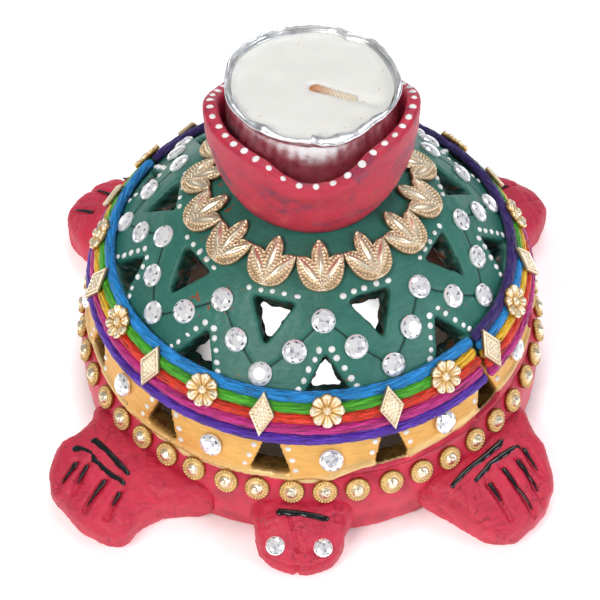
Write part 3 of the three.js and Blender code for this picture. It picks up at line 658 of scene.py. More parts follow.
def paraffin_wax(colour):
    """White paraffin: light soaks in, the surface is softly glossy, and dust and scorched crumbs
    have settled on it, mostly near the rim."""
    material, tree, surface, where = new_material(
        "paraffin_wax", Roughness=0.42,
        **{"Subsurface Weight": 0.35, "Subsurface Radius": (1.0, 0.8, 0.6), "Subsurface Scale": 3 * MM})
    cloud = add_node(tree, "TexNoise", {"Vector": (where, "Object"), "Scale": per_metre(9), "Detail": 3})
    milky = add_node(tree, "ValToRGB", {"Fac": (cloud, 0)}, stops=(
        (0.35, shaded(colour, 0.94)),
        (0.65, colour),
    ))
    parts = add_node(tree, "SeparateXYZ", {0: (where, "Object")})
    level = add_node(tree, "CombineXYZ", {0: (parts, 0), 1: (parts, 1)})
    radius = add_node(tree, "VectorMath", {0: (level, 0)}, operation="LENGTH")
    outer = add_node(tree, "MapRange", {"Value": (radius, 1), 1: 9 * MM, 2: 18 * MM, 4: 0.05})
    crumbs = add_node(tree, "TexNoise", {
        "Vector": (where, "Object"), "Scale": per_metre(1.2), "Detail": 3, "Roughness": 0.7})
    near_rim = add_node(tree, "Math", {0: (crumbs, 0), 1: (outer, 0)}, operation="ADD")
    scorched = add_node(tree, "MapRange", {"Value": (near_rim, 0), 1: 0.69, 2: 0.76, 4: 0.75})
    base = add_node(tree, "Mix",
                    {0: (scorched, 0), 6: (milky, 0), 7: (*linear("#C98A62"), 1)}, data_type="RGBA")
    bump = add_node(tree, "Bump", {"Height": (cloud, 0), "Strength": 0.3, "Distance": 0.4 * MM})
    set_inputs(tree, surface, {"Base Color": (base, 2), "Normal": (bump, 0)})
    return material


def waxed_cotton():
    """A braided cotton wick soaked in wax: a cream cord with a fine braid, scorched where it leaves
    the wax."""
    material, tree, surface, _ = new_material("waxed_cotton", Roughness=0.5)
    along = add_node(tree, "UVMap", uv_map="along")
    laid = add_node(tree, "Mapping", {"Vector": (along, 0), "Rotation": (0, 0, 0.7)})
    braid = add_node(tree, "TexWave",
                     {"Vector": (laid, 0), "Scale": 0.45, "Distortion": 1.5, "Detail": 2})
    parts = add_node(tree, "SeparateXYZ", {0: (along, 0)})
    scorch = add_node(tree, "ValToRGB", {"Fac": (parts, 0)}, stops=(
        (0.0, linear("#C77C48")),
        (1.0, linear("#E8DCC4")),
    ))
    reach = add_node(tree, "MapRange", {"Value": (parts, 0), 1: 13.0, 2: 19.0})
    tree.links.new(reach.outputs[0], scorch.inputs["Fac"])
    soaked = add_node(tree, "MapRange", {"Value": (braid, 1), 1: 0.0, 2: 0.4, 3: 0.6})
    base = add_node(tree, "Mix", {0: (soaked, 0), 6: (*linear("#B98E66"), 1), 7: (scorch, 0)},
                    data_type="RGBA")
    bump = add_node(tree, "Bump", {"Height": (braid, 1), "Strength": 0.6, "Distance": 0.2 * MM})
    set_inputs(tree, surface, {"Base Color": (base, 2), "Normal": (bump, 0)})
    return material


def pale_paper():
    """The matt white sweep the diya stands on. It glows as painted light: brightly under the
    middle of the shell, so that it shows white through the cut-outs; not at all close inside the base
    ring, which stays in the shell's shade; and softly beyond the ring, to keep the open floor white."""
    material, tree, surface, where = new_material(
        "pale_paper", Roughness=0.9, **{"Emission Color": (1, 1, 1, 1)})
    parts = add_node(tree, "SeparateXYZ", {0: (where, "Object")})
    level = add_node(tree, "CombineXYZ", {0: (parts, 0), 1: (parts, 1)})
    radius = add_node(tree, "VectorMath", {0: (level, 0)}, operation="LENGTH")
    share = add_node(tree, "MapRange", {"Value": (radius, 1), 1: 0.0, 2: 0.1})
    # Painted light: how strongly the floor glows, by its distance from the middle in shares of 100 mm.
    painted_floor_glow = add_node(tree, "ValToRGB", {"Fac": (share, 0)}, stops=(
        (0.2, (1.1, 1.1, 1.1)),
        (0.29, (0.0, 0.0, 0.0)),
        (0.53, (0.0, 0.0, 0.0)),
        (0.6, (0.38, 0.38, 0.38)),
    ))
    set_inputs(tree, surface, {"Emission Strength": (painted_floor_glow, 0)})
    fibre = add_node(tree, "TexNoise", {"Vector": (where, "Object"), "Scale": per_metre(4), "Detail": 3})
    tone = add_node(tree, "ValToRGB", {"Fac": (fibre, 0)}, stops=(
        (0.3, linear("#F4F4F4")),
        (0.7, linear("#FAFAFA")),
    ))
    set_inputs(tree, surface, {"Base Color": (tone, 0)})
    return material


# ---------------------------------------------------------------- the clay shell

# Height of the line where the gold paint of the waist band meets the red, by angle round the shell.
PAINT_EDGE_ANGLES = (-180, -110, -58, -46, -16, -10, -5, 4, 10, 24, 40, 75, 120, 180)
PAINT_EDGE_HEIGHTS = (19.5, 19.8, 18.8, 17.2, 17.6, 19.2, 17.0, 17.2, 20.8, 20.4, 21.8, 22.6, 20.5, 19.5)


def paint_edge(angle):
    """Height of the line between gold and red, smoothed by averaging over 8 degrees."""
    near = np.asarray(angle, float)[..., None] + np.linspace(-4, 4, 9)
    near = (near + 180) % 360 - 180
    return np.interp(near, PAINT_EDGE_ANGLES, PAINT_EDGE_HEIGHTS).mean(-1)


def angle_of(points):
    """Angle of points round the shell, in degrees."""
    return np.degrees(np.arctan2(points[..., 0], -points[..., 1]))


def prism(outline, controls, share, angle, depth, proud, taper=0.0):
    """A cutter square to the shell: an outline of (across, upslope) points carried inwards, growing
    smaller by the taper for each millimetre."""
    outline = np.asarray(outline, float)
    ends = [np.column_stack([(1 + taper * level) * outline, np.full(len(outline), level)])
            for level in (-depth, proud)]
    return laid_on(shell_frames(controls, share, angle), np.concatenate(ends))


def prism_faces(sides, count):
    """Faces of a number of prisms: their sides, and fans of triangles for their ends."""
    near = np.arange(sides)
    far = (near + 1) % sides
    walls = np.stack([near, far, far + sides, near + sides], -1)
    fan = np.arange(1, sides - 1)
    ends = np.stack([np.zeros_like(fan), fan + 1, fan], -1)
    tops = np.stack([np.full_like(fan, sides), fan + sides, fan + 1 + sides], -1)
    each = [walls.tolist(), ends.tolist(), tops.tolist()]
    one = [face for part in each for face in part]
    return [[v + copy * 2 * sides for v in face] for copy in range(count) for face in one]


def triangle(width, height, tip):
    """A triangle about its own middle, its point up for tip 1 and down for tip -1."""
    return [(-width / 2, -tip * height / 2), (width / 2, -tip * height / 2), (0, tip * height / 2)]


UPPER_HOLE = (11.2, 11.3, 0.33)    # width, height and share of the dome curve
LOWER_HOLE = (11.3, 9.6, 0.092)
HOLE_DEPTH = 1.7 * WALL
HOLE_TAPER = 0.06       # a hole cut from outside grows this much narrower for each millimetre


def chevron_angles(offset=0.0):
    """Angles of the nine chevrons' points, moved on by an offset."""
    return CHEVRON_START + offset + np.arange(CHEVRONS) * 360 / CHEVRONS


def window_angles(offset=0.0):
    """Angles of the twelve windows, moved on by an offset."""
    return WINDOW_START + offset + np.arange(WINDOWS) * 360 / WINDOWS


def cut_clay(name, solid, cutters, cutter_sides, voxel):
    """A thrown clay piece with holes cut in it: subtract the cutters, then remesh it and soften the
    arrises as a wet sponge does."""
    segments = solid.shape[1]
    blank_mesh = new_mesh(name, solid, grid_faces(solid.shape[0], segments, round_rows=True))
    blank = bpy.data.objects.new(name, blank_mesh)
    knife_mesh = bpy.data.meshes.new("knife")
    count = len(cutters) // (2 * cutter_sides)
    knife_mesh.from_pydata((cutters * MM).tolist(), [], prism_faces(cutter_sides, count))
    weld(knife_mesh)
    knife = bpy.data.objects.new("knife", knife_mesh)
    for piece in (blank, knife):
        bpy.context.scene.collection.objects.link(piece)
    cut = blank.modifiers.new("cut", "BOOLEAN")
    cut.object = knife
    cut.solver = "EXACT"
    remesh = blank.modifiers.new("clay", "REMESH")
    remesh.voxel_size = voxel
    sponge = blank.modifiers.new("sponge", "SMOOTH")
    sponge.iterations = 3
    graph = bpy.context.evaluated_depsgraph_get()
    mesh = bpy.data.meshes.new_from_object(blank.evaluated_get(graph), depsgraph=graph)
    for piece in (blank, knife):
        bpy.data.objects.remove(piece)
    mesh.name = name
    return mesh


def depth_inside(points, profile):
    """How far points lie inside an outer profile of (radius, height) points, in millimetres."""
    flat = np.column_stack([np.hypot(points[:, 0], points[:, 1]), points[:, 2]]).astype(np.float32)
    nearest = np.full(len(flat), 1e9, np.float32)
    for place in np.asarray(profile, np.float32):
        np.minimum(nearest, ((flat - place) ** 2).sum(1), out=nearest)
    return np.sqrt(nearest)


def fray_cuts(mesh, outer):
    """Tear the faces of the cuts: below the outer face they go in and out by up to a millimetre,
    more the deeper they are."""
    points = points_of(mesh)
    depth = depth_inside(points, outer)
    torn = np.clip((depth - 0.6) / 2.5, 0, 1) * np.clip((WALL + 0.5 - depth) / 1.0, 0, 1)
    lumps = 0.6 * waves(points, 3.4, 9, 2) + 0.5 * waves(points, 7, 10, 2)
    move_points(mesh, points + (torn * lumps)[:, None] * normals_of(mesh))


def work_by_hand(mesh, waviness, seed, size=16):
    """Push a clay surface in and out along its normals, in lumps as fingers leave them."""
    points = points_of(mesh)
    normals = normals_of(mesh)
    lumps = waviness * waves(points, size, seed) + 0.25 * waviness * waves(points, size / 6, seed + 1)
    move_points(mesh, points + lumps[:, None] * normals)


def make_dome(sizes, material):
    """The pierced dome. Its outer face is the top of the wall curve and then the dome curve, its
    inner face lies a wall's thickness inside; nine pairs of triangles are cut through it."""
    wall = np.linspace(DOME_SEAM, 1, 12)[:-1]
    roof = np.linspace(0, 1, 60)
    inner_roof = np.linspace(0.94, 0.1, 40)
    inner_wall = np.linspace(1, DOME_SEAM, 8)
    outer = np.concatenate([inset(WALL_CURVE, wall, 0), inset(DOME_CURVE, roof, 0)])
    inner = np.concatenate([inset(DOME_CURVE, inner_roof, WALL), inset(WALL_CURVE, inner_wall, WALL)])
    crown = np.array([[0.0, CROWN_HEIGHT - WALL]])
    profile = np.concatenate([outer, crown, inner])
    upper = triangle(UPPER_HOLE[0], UPPER_HOLE[1], -1)
    lower = triangle(LOWER_HOLE[0], LOWER_HOLE[1], 1)
    half = 180 / CHEVRONS
    cutters = np.concatenate([
        prism(upper, DOME_CURVE, UPPER_HOLE[2], chevron_angles(half), HOLE_DEPTH, 2, HOLE_TAPER),
        prism(lower, DOME_CURVE, LOWER_HOLE[2], chevron_angles(), HOLE_DEPTH, 2, HOLE_TAPER),
    ]).reshape(-1, 3)
    mesh = cut_clay("dome_clay", turned(profile, 180), cutters, 3, sizes.clay_voxel)
    fray_cuts(mesh, outer)
    set_values(mesh, "depth", depth_inside(points_of(mesh), outer))
    work_by_hand(mesh, sizes.clay_waviness / MM, 3)
    score_chevrons(mesh)
    add_piece(mesh, material, replaces=["dome_shell"])


def score_chevrons(mesh):
    """Press a groove 0.35 mm deep along the zigzag line that joins the dome's stones."""
    points = points_of(mesh)
    normals = normals_of(mesh)
    pitch = 360 / CHEVRONS
    away = np.abs((angle_of(points) - CHEVRON_START + pitch / 2) % pitch - pitch / 2)
    line = 33.9 + 9.6 * away / (pitch / 2)
    off = np.hypot(points[:, 0], points[:, 1]) - line
    outside = np.clip(normals[:, 2], 0, 1)
    pressed = 0.35 * np.exp(-(off / 0.4) ** 2) * outside
    move_points(mesh, points - pressed[:, None] * normals)


def make_band(sizes, material):
    """The waist band under the cords: the lower part of the wall curve with twelve windows cut in it,
    and a rolled edge along its foot where gold paint meets red."""
    shares = np.linspace(0, DOME_SEAM - 0.012, 40)
    outer = inset(WALL_CURVE, shares, 0)
    inner = inset(WALL_CURVE, shares[::-2], WALL)
    inner[-1, 1] = outer[0, 1]
    profile = np.concatenate([outer, inner])
    sill = BASE_HEIGHT + GAP + 1
    top = outer[-1, 1] - 1.2
    window = np.array(triangle(WINDOW_WIDTH, top - sill, 1)) + [0, (sill + top) / 2]
    out, side = directions(window_angles())
    upright = window[:, :1] * side[:, None] + window[:, 1:] * UP
    ends = [reach * out[:, None] + upright for reach in (WAIST_RADIUS - 3 * WALL, WAIST_RADIUS + WALL)]
    cutters = np.concatenate(ends, 1).reshape(-1, 3)
    mesh = cut_clay("band_clay", turned(profile, 240), cutters, 3, sizes.clay_voxel)
    set_values(mesh, "depth", depth_inside(points_of(mesh), outer))
    work_by_hand(mesh, 0.6 * sizes.clay_waviness / MM, 5)
    finish_edge(mesh)
    add_piece(mesh, material, replaces=["waist_band"])


def finish_edge(mesh):
    """Store how far points stand above the gold and red line, and swell the gold just above it. The
    ring's top under the windows is gold all the way in."""
    points = points_of(mesh)
    normals = normals_of(mesh)
    above = points[:, 2] - paint_edge(angle_of(points))
    radius = np.hypot(points[:, 0], points[:, 1])
    above += 4 * np.clip(WAIST_RADIUS - 0.8 - radius, 0, 3)
    outside = np.clip((radius - 50) / 2, 0, 1)
    swell = 0.8 * np.exp(-((above - 1.1) / 0.8) ** 2) * outside
    move_points(mesh, points + swell[:, None] * normals)
    set_values(mesh, "above_edge", above)


RING_SHOULDER = 9.5     # height at which the ring's side begins to lean in
RING_LEAN = 2.0         # how far it has leaned in at the top


def make_ring(sizes, material):
    """The base ring: an upright wall that swells a little at half its height and leans in above, its
    arrises rounded."""
    share = np.linspace(0, 1, 44)
    height = BASE_HEIGHT * share
    corner = 1.3
    foot = np.clip(1 - height / corner, 0, 1)
    head = np.clip(1 - (BASE_HEIGHT - height) / corner, 0, 1)
    rounding = corner * (2 - np.sqrt(1 - foot ** 2) - np.sqrt(1 - head ** 2))
    shoulder = RING_LEAN * np.clip((height - RING_SHOULDER) / (BASE_HEIGHT - RING_SHOULDER), 0, 1) ** 2
    radius = BASE_RADIUS + BASE_BULGE * np.sin(math.pi * share) - rounding - shoulder
    outer = np.column_stack([radius, height])
    inside = BASE_RADIUS - WALL - 1.4
    inner = np.column_stack([np.full(14, inside), np.linspace(BASE_HEIGHT, 0, 14)])
    profile = np.concatenate([outer, inner])
    grid = turned(profile, 480)
    mesh = new_mesh("ring_clay", grid, grid_faces(*grid.shape[:2], round_rows=True))
    work_by_hand(mesh, 1.3 * sizes.clay_waviness / MM, 7)
    points = points_of(mesh)
    points[:, 2] = np.maximum(points[:, 2], 0)
    move_points(mesh, points)
    set_values(mesh, "depth", depth_inside(points, outer))
    finish_edge(mesh)
    add_piece(mesh, material, replaces=["base_ring"])


# ---------------------------------------------------------------- head, flippers and tail

# Each limb seen from above, as (sideways, outwards) points round its edge, and its top from the side
# as (outwards, height) points. Scores are cut with a stick; strokes are squeezed on in black.
LIMBS = {
    "head": {
        "angle": -3,
        "edge": ((-11.2, 51), (-10.4, 56.5), (-9.4, 61.7), (-7.8, 64.6), (-4.4, 67.3), (0.6, 68.1),
                 (5.0, 67.6), (8.2, 65.9), (10.2, 62.9), (11.0, 58.5), (12.2, 51), (0, 47)),
        "top": ((48, 13.0), (57, 12.8), (60, 12.0), (65, 9.2), (68, 7.4), (71, 6.0)),
        "scores": (((-1.8, 59.5), (0.3, 65.8)), ((0.3, 65.8), (4.2, 66.0))),
        "bars": (((-5.0, 58.6), (0.8, 58.8), (7.4, 59.6)),),
        "toes": (),
    },
    "flipper_front_left": {
        "angle": -45,
        "edge": ((-17.6, 52), (-16.2, 57.5), (-15.7, 62), (-16.2, 66), (-15.2, 70.3), (-12.2, 74.2),
                 (-8, 76.6), (-3, 77.2), (2.2, 78.0), (6.8, 77.4), (10.8, 75.9), (13, 73), (12.4, 68.5),
                 (13.6, 62), (17.5, 57.5), (19.5, 51), (0, 46)),
        "top": ((46, 12.8), (60, 12.8), (66, 11.8), (72, 10.6), (79, 9.2)),
        "scores": (),
        "bars": (((-10.0, 62.2), (-5.1, 62.3), (0.2, 62.7), (4.4, 63.3)),
                 ((-12.0, 66.5), (-7.4, 65.4), (-3.4, 65.9), (0.8, 66.0), (5.4, 65.5))),
        "toes": (((-8.0, 68.6), (-6.7, 75.6)), ((-5.4, 67.6), (-3.1, 74.2)),
                 ((0.8, 67.6), (2.2, 75.2)), ((5.8, 67.4), (7.7, 73.6))),
    },
    "flipper_front_right": {
        "angle": 44,
        "edge": ((17.5, 51), (16.3, 58), (13.8, 65), (9.6, 71), (2.8, 75.2), (-4.2, 76.0),
                 (-9.6, 74.8), (-12.8, 71.6), (-14.4, 66), (-15, 60.5), (-15.6, 51), (0, 46)),
        "top": ((46, 12.8), (58, 12.8), (64, 12.0), (70, 10.8), (77, 9.2)),
        "scores": (((9.6, 63.0), (7.2, 71.0)),),
        "bars": (((7.6, 58.3), (0.3, 58.6), (-6.4, 58.4), (-12.6, 59.0)),
                 ((7.8, 61.8), (0.4, 60.8), (-1.6, 60.9), (-7.4, 61.8))),
        "toes": (((8.0, 62.6), (5.9, 69.9)), ((4.6, 64.0), (1.7, 75.3)),
                 ((0.2, 63.4), (-1.9, 75.1)), ((-5.2, 63.9), (-7.3, 72.9))),
    },
    "flipper_back_left": {
        "angle": -129.5,
        "edge": ((-15, 51), (-15.2, 58), (-14.6, 65), (-11.2, 71.2), (-5.5, 75.4), (1, 76.6), (7.2, 75),
                 (12, 70.8), (14.8, 64.5), (15.2, 58), (15, 51), (0, 46)),
        "top": ((46, 12.8), (58, 12.8), (64, 12.0), (70, 10.8), (77, 9.2)),
        "scores": (),
        "bars": (),
        "toes": (((-8.5, 66.0), (-9.6, 72.6)), ((-1.2, 66.0), (-1.4, 75.6)), ((6.4, 67.0), (7.4, 73.6))),
    },
    "flipper_back_right": {
        "angle": 132,
        "edge": ((15, 51), (14.6, 58), (12.6, 65), (9.2, 71.4), (3.4, 75.8), (-3.2, 77), (-8.8, 74.8),
                 (-12.6, 69.8), (-14.6, 63.5), (-15, 57.5), (-15, 51), (0, 46)),
        "top": ((46, 12.8), (58, 12.8), (64, 12.0), (70, 10.8), (77, 9.2)),
        "scores": (((-4.6, 67.0), (-6.0, 74.0)),),
        "bars": (),
        "toes": (((7.2, 65.5), (5.6, 70.5)), ((1.4, 67.5), (1.2, 72.5))),
    },
    "tail": {
        "angle": 180,
        "edge": ((-7, 51), (-6.2, 57), (-4.8, 63), (-2.6, 68.4), (0, 70), (2.6, 68.4), (4.8, 63),
                 (6.2, 57), (7, 51), (0, 47)),
        "top": ((47, 8.4), (57, 8.2), (64, 5.6), (70, 3.4)),
        "scores": (),
        "bars": (),
        "toes": (),
    },
}
LIMB_MIDDLE = 60.5      # how far out the middle of a limb's rings lies
TOP_SQUARENESS = 3.4    # 2 is an ellipse; more is flatter on top with tighter edges
FOOT_SQUARENESS = 4.0
FOOT_SHARE = 0.9


def smooth_closed(points, per_span=24):
    """A closed Catmull-Rom curve: between two points p and q, with neighbours o and r, it is the
    cubic whose slopes there are (q - o) / 2 and (r - p) / 2."""
    p = np.asarray(points, float)[:, None, :]
    o, q, r = np.roll(p, 1, 0), np.roll(p, -1, 0), np.roll(p, -2, 0)
    t = (np.arange(per_span) / per_span)[None, :, None]
    curve = p + 0.5 * t * (q - o + t * (2 * o - 5 * p + 4 * q - r + t * (3 * (p - q) + r - o)))
    return curve.reshape(-1, 2)


def edge_radius(limb, turn):
    """Distance from a limb's middle to its edge in a direction, 0 outwards."""
    curve = smooth_closed(limb["edge"]) - np.array([0, LIMB_MIDDLE])
    angle = np.arctan2(curve[:, 0], curve[:, 1])
    order = np.argsort(angle)
    radius = np.hypot(curve[:, 0], curve[:, 1])
    return np.interp(turn, angle[order], radius[order], period=2 * math.pi)


def superellipse(share, squareness):
    """The other coordinate of a superellipse: (1 - share^n)^(1/n)."""
    return (1 - np.clip(share, 0, 1) ** squareness) ** (1 / squareness)


def limb_height(limb, sideways, outwards):
    """Height of a limb's top: its side view, rounded off towards its edge as half a superellipse."""
    turn = np.arctan2(sideways, outwards - LIMB_MIDDLE)
    share = np.hypot(sideways, outwards - LIMB_MIDDLE) / edge_radius(limb, turn)
    places, heights = np.transpose(limb["top"])
    return np.interp(outwards, places, heights) * (0.5 + 0.5 * superellipse(share, TOP_SQUARENESS))


def nearness(x, y, start, end, width):
    """1 on a straight line between two points in plan, falling off as a bell this wide beside it."""
    start, end = np.array(start), np.array(end)
    along = end - start
    t = ((x - start[0]) * along[0] + (y - start[1]) * along[1]) / (along @ along)
    t = np.clip(t, 0, 1)
    gap = np.hypot(x - start[0] - t * along[0], y - start[1] - t * along[1])
    return np.exp(-(gap / width) ** 2)


def in_frame(angle, sideways, outwards, height):
    """Points given beside and out along a direction of the shell, put into the model's frame."""
    out, side = directions(angle)
    points = np.asarray(sideways)[..., None] * side + np.asarray(outwards)[..., None] * out
    points[..., 2] += height
    return points


def make_limb(name, limb, sizes, material):
    """A pinched limb, closed all round: rings from the middle of its top, over the edge, to the
    middle of its flat foot. A ring is the edge's outline times a share, and its height is a share of
    the top's height, both read off a superellipse that is squarer below."""
    segments = 300
    top_share = np.linspace(0, 0.93, 62)
    level = np.linspace(superellipse(0.93, TOP_SQUARENESS), 0, 14)[1:]
    foot_level = np.linspace(0, superellipse(FOOT_SHARE, FOOT_SQUARENESS), 8)[1:]
    foot_share = np.linspace(FOOT_SHARE, 0, 16)
    share = np.concatenate([top_share, superellipse(level, TOP_SQUARENESS),
                            superellipse(foot_level, FOOT_SQUARENESS), foot_share])
    height = np.concatenate([superellipse(top_share, TOP_SQUARENESS), level, -foot_level,
                             -superellipse(foot_share, FOOT_SQUARENESS)])
    turn = np.linspace(-math.pi, math.pi, segments, endpoint=False)
    reach = share[:, None] * edge_radius(limb, turn)
    x = reach * np.sin(turn)
    y = LIMB_MIDDLE + reach * np.cos(turn)
    places, heights = np.transpose(limb["top"])
    z = np.interp(y, places, heights) * (0.5 + 0.5 * height[:, None])
    upper = np.clip(height[:, None] * 4, 0, 1)
    for start, end in limb["toes"]:
        z -= 1.1 * upper * nearness(x, y, start, end, 0.75)
        z += 0.35 * upper * (nearness(x, y, start, end, 2.4) - nearness(x, y, start, end, 1.2))
    for start, end in limb["scores"]:
        z -= 0.55 * upper * nearness(x, y, start, end, 0.45)
    points = in_frame(limb["angle"], x, y, z)
    mesh = new_mesh(name + "_clay", points, grid_faces(len(share), segments))
    seed = 11 + len(name)
    work_by_hand(mesh, 1.6 * sizes.clay_waviness / MM, seed, 9)
    if name == "head":
        cut_mouth(mesh, limb["angle"])
    points = points_of(mesh)
    points[:, 2] = np.maximum(points[:, 2], 0)
    move_points(mesh, points)
    add_piece(mesh, material, replaces=[name])


def cut_mouth(mesh, angle):
    """Press the mouth round the front of the snout, and a short upright line under it."""
    points = points_of(mesh)
    normals = normals_of(mesh)
    out, side = directions(angle)
    ahead = np.clip((points @ out - 64) / 2.5, 0, 1)
    sideways = points @ side
    mouth = np.exp(-((points[:, 2] - 4.4 - 0.02 * sideways ** 2) / 0.42) ** 2)
    chin = np.exp(-((sideways - 0.3) / 0.4) ** 2) * (points[:, 2] < 4.4)
    pressed = ahead * (0.75 * mouth + 0.6 * chin)
    move_points(mesh, points - pressed[:, None] * normals)


def stroke(limb, path, start_width, end_width, height, seed):
    """A squeezed line of paint lying on a limb: a flattened tube along a path, its half width going
    from one end's to the other's and wandering by a fifth, its ends drawn to a point."""
    path = np.asarray(path, float)
    lengths = np.concatenate([[0], np.cumsum(np.linalg.norm(np.diff(path, axis=0), axis=1))])
    steps = max(14, int(lengths[-1] * 4))
    t = np.linspace(0, 1, steps)
    x = np.interp(t * lengths[-1], lengths, path[:, 0])
    y = np.interp(t * lengths[-1], lengths, path[:, 1])
    random = np.random.default_rng(seed)
    wander = sum(random.uniform(0.3, 1) * np.sin(t * lengths[-1] * pace + random.uniform(0, 6.28))
                 for pace in (0.5, 1.1, 1.9)) / 3
    x = x + 0.3 * wander * (lengths[-1] > 8)
    y = y + 0.3 * wander
    heading = np.arctan2(np.gradient(x), np.gradient(y))
    blunt = np.clip(np.minimum(t, 1 - t) * lengths[-1] / 0.7, 0, 1) ** 0.5
    half = (start_width + (end_width - start_width) * t ** 0.7) * (1 + 0.22 * wander) * blunt / 2
    around = np.arange(14) * 2 * math.pi / 14
    across = half[:, None] * np.cos(around)
    px = x[:, None] + across * np.cos(heading)[:, None]
    py = y[:, None] - across * np.sin(heading)[:, None]
    thick = height * (blunt * (1 + 0.12 * wander))[:, None] * np.sin(around)
    pz = limb_height(limb, px, py) + thick
    points = in_frame(limb["angle"], px, py, pz)
    ends = points[[0, -1]].mean(1, keepdims=True).repeat(14, 1)
    return np.concatenate([ends[:1], points, ends[1:]])


def make_strokes(name, limb, material):
    """The black strokes on one limb, joined in one piece."""
    strokes = [stroke(limb, bar, 1.8, 1.2, 0.4, 20 + i) for i, bar in enumerate(limb["bars"])]
    for i, toe in enumerate(limb["toes"]):
        start, end = np.array(toe[0]), np.array(toe[1])
        reach = (0.85, 0.75, 0.95, 0.6)[i]
        strokes.append(stroke(limb, [start, start + reach * (end - start)], 1.4, 0.3, 0.36, 40 + i))
    if not strokes:
        return
    points, faces, count = [], [], 0
    for part in strokes:
        points.append(part.reshape(-1, 3))
        faces.append(grid_faces(*part.shape[:2]) + count)
        count += part.shape[0] * part.shape[1]
    mesh = new_mesh(name + "_black_strokes", np.concatenate(points), np.concatenate(faces))
    add_piece(mesh, material)


# ---------------------------------------------------------------- bowl

FOOT_RADIUS = 17.0
BOWL_RIM_RADIUS = 24.0
BOWL_WALL = 3.2
SEAT_HEIGHT = RIM_HEIGHT - 12.4
HOLLOW_RADIUS = BOWL_RIM_RADIUS - BOWL_WALL - 1.5
SPOUT_ANGLE = 2
SPOUT_REACH = 2.3       # how far the spout leans out at the rim
SPOUT_DROP = 3.9
BACK_DROP = 6.5         # how much lower the rim is behind the tealight


def spout(points):
    """Pinch the spout into points of the bowl: near its angle the rim dips and reaches outwards,
    by a bell over the angle times a smooth step from the seat up to the rim. Behind the tealight the
    rim sinks, by a smooth step over the angle."""
    away = np.abs((angle_of(points) - SPOUT_ANGLE) / 25) ** 1.3
    climb = np.clip((points[..., 2] - SEAT_HEIGHT) / (RIM_HEIGHT - SEAT_HEIGHT), 0, 1)
    step = climb ** 2 * (3 - 2 * climb)
    pull = np.exp(-away ** 2) * step
    radius = np.maximum(np.hypot(points[..., 0], points[..., 1]), 1e-6)
    behind = np.clip((np.abs(angle_of(points)) - 78) / 50, 0, 1)
    behind = behind ** 2 * (3 - 2 * behind) * step
    wider = 1 + (SPOUT_REACH * pull - 0.9 * behind) / radius
    slope = 0.9 * climb ** 2 * points[..., 0] / BOWL_RIM_RADIUS
    return np.stack([points[..., 0] * wider, points[..., 1] * wider,
                     points[..., 2] - SPOUT_DROP * pull - BACK_DROP * behind + slope], -1)


def make_bowl(sizes, material):
    """The bowl: a profile turned round, from the foot on the dome up the flaring side, over the flat
    rim, down to the ledge and the hollow under it, with the spout pinched in."""
    foot_share = np.linspace(1, share_at_radius(DOME_CURVE, FOOT_RADIUS), 10)
    foot = inset(DOME_CURVE, foot_share, -GAP)
    radius, low = foot[-1]
    rise = RIM_HEIGHT - low
    flare = BOWL_RIM_RADIUS - radius
    side_r = radius + flare * np.array([0, 0.24, 0.46, 0.64, 0.79, 0.9, 0.97, 1, 1])
    side_z = low + rise * np.array([0, 0.1, 0.21, 0.32, 0.46, 0.6, 0.74, 0.86, 0.94])
    fine = np.linspace(0, 8, 70)
    side = np.column_stack([np.interp(fine, range(9), side_r), np.interp(fine, range(9), side_z)])
    kernel = np.ones(7) / 7
    side[3:-3] = np.column_stack([np.convolve(side[:, i], kernel, "valid") for i in (0, 1)])
    floor = RIM_HEIGHT - 20.8
    inner_rim = BOWL_RIM_RADIUS - BOWL_WALL
    rim_r = np.linspace(BOWL_RIM_RADIUS, inner_rim, 14)
    rim_round = np.sqrt(1 - np.linspace(-1, 1, 14) ** 2 * 0.98)
    rim = np.column_stack([rim_r, RIM_HEIGHT - 1.5 + 1.5 * rim_round ** 0.5])
    wall_z = np.linspace(RIM_HEIGHT - 1.6, SEAT_HEIGHT, 24)
    wall_r = np.interp(wall_z, (SEAT_HEIGHT, RIM_HEIGHT), (HOLLOW_RADIUS, inner_rim))
    hollow_r = HOLLOW_RADIUS * np.array([0.95, 0.9, 0.88, 0.8, 0.63, 0.45, 0.22, 0])
    hollow_z = floor + (SEAT_HEIGHT - floor) * np.array([1, 1, 0.93, 0.45, 0.22, 0.06, 0.01, 0])
    profile = np.concatenate([foot, side, rim, np.column_stack([wall_r, wall_z]),
                              np.column_stack([hollow_r, hollow_z])])
    grid = spout(turned(profile, 260))
    mesh = new_mesh("bowl_clay", grid, grid_faces(*grid.shape[:2]))
    work_by_hand(mesh, 0.9 * sizes.clay_waviness / MM, 31, 13)
    add_piece(mesh, material, replaces=["diya_bowl"])


# ---------------------------------------------------------------- painted dots and stones

def share_at_height(height):
    """Share of the wall curve at which it has a given height."""
    table = np.linspace(0, 1, 400)
    return np.interp(height, bezier(WALL_CURVE, table)[:, 1], table)


def on_dome(share, angle, across, upslope, lift=0.0):
    """Frames on the dome at places given in the flat of a cut-out: its radius and angle are kept."""
    origin, side, up, _ = shell_frames(DOME_CURVE, share, angle)
    points = origin + np.asarray(across)[..., None] * side + np.asarray(upslope)[..., None] * up
    radius = np.hypot(points[..., 0], points[..., 1])
    return shell_frames(DOME_CURVE, share_at_radius(DOME_CURVE, radius), angle_of(points), lift)


def beside(start, end, shares, gap):
    """Points along a line between two corners, moved to its left by a gap."""
    start, end = np.array(start, float), np.array(end, float)
    along = (end - start) / np.linalg.norm(end - start)
    left = np.array([-along[1], along[0]])
    return start + np.asarray(shares)[:, None] * (end - start) + gap * left


def joined(frames):
    """Several sets of frames as one."""
    return [np.concatenate([np.atleast_2d(part[i]).reshape(-1, 3) for part in frames]) for i in range(4)]


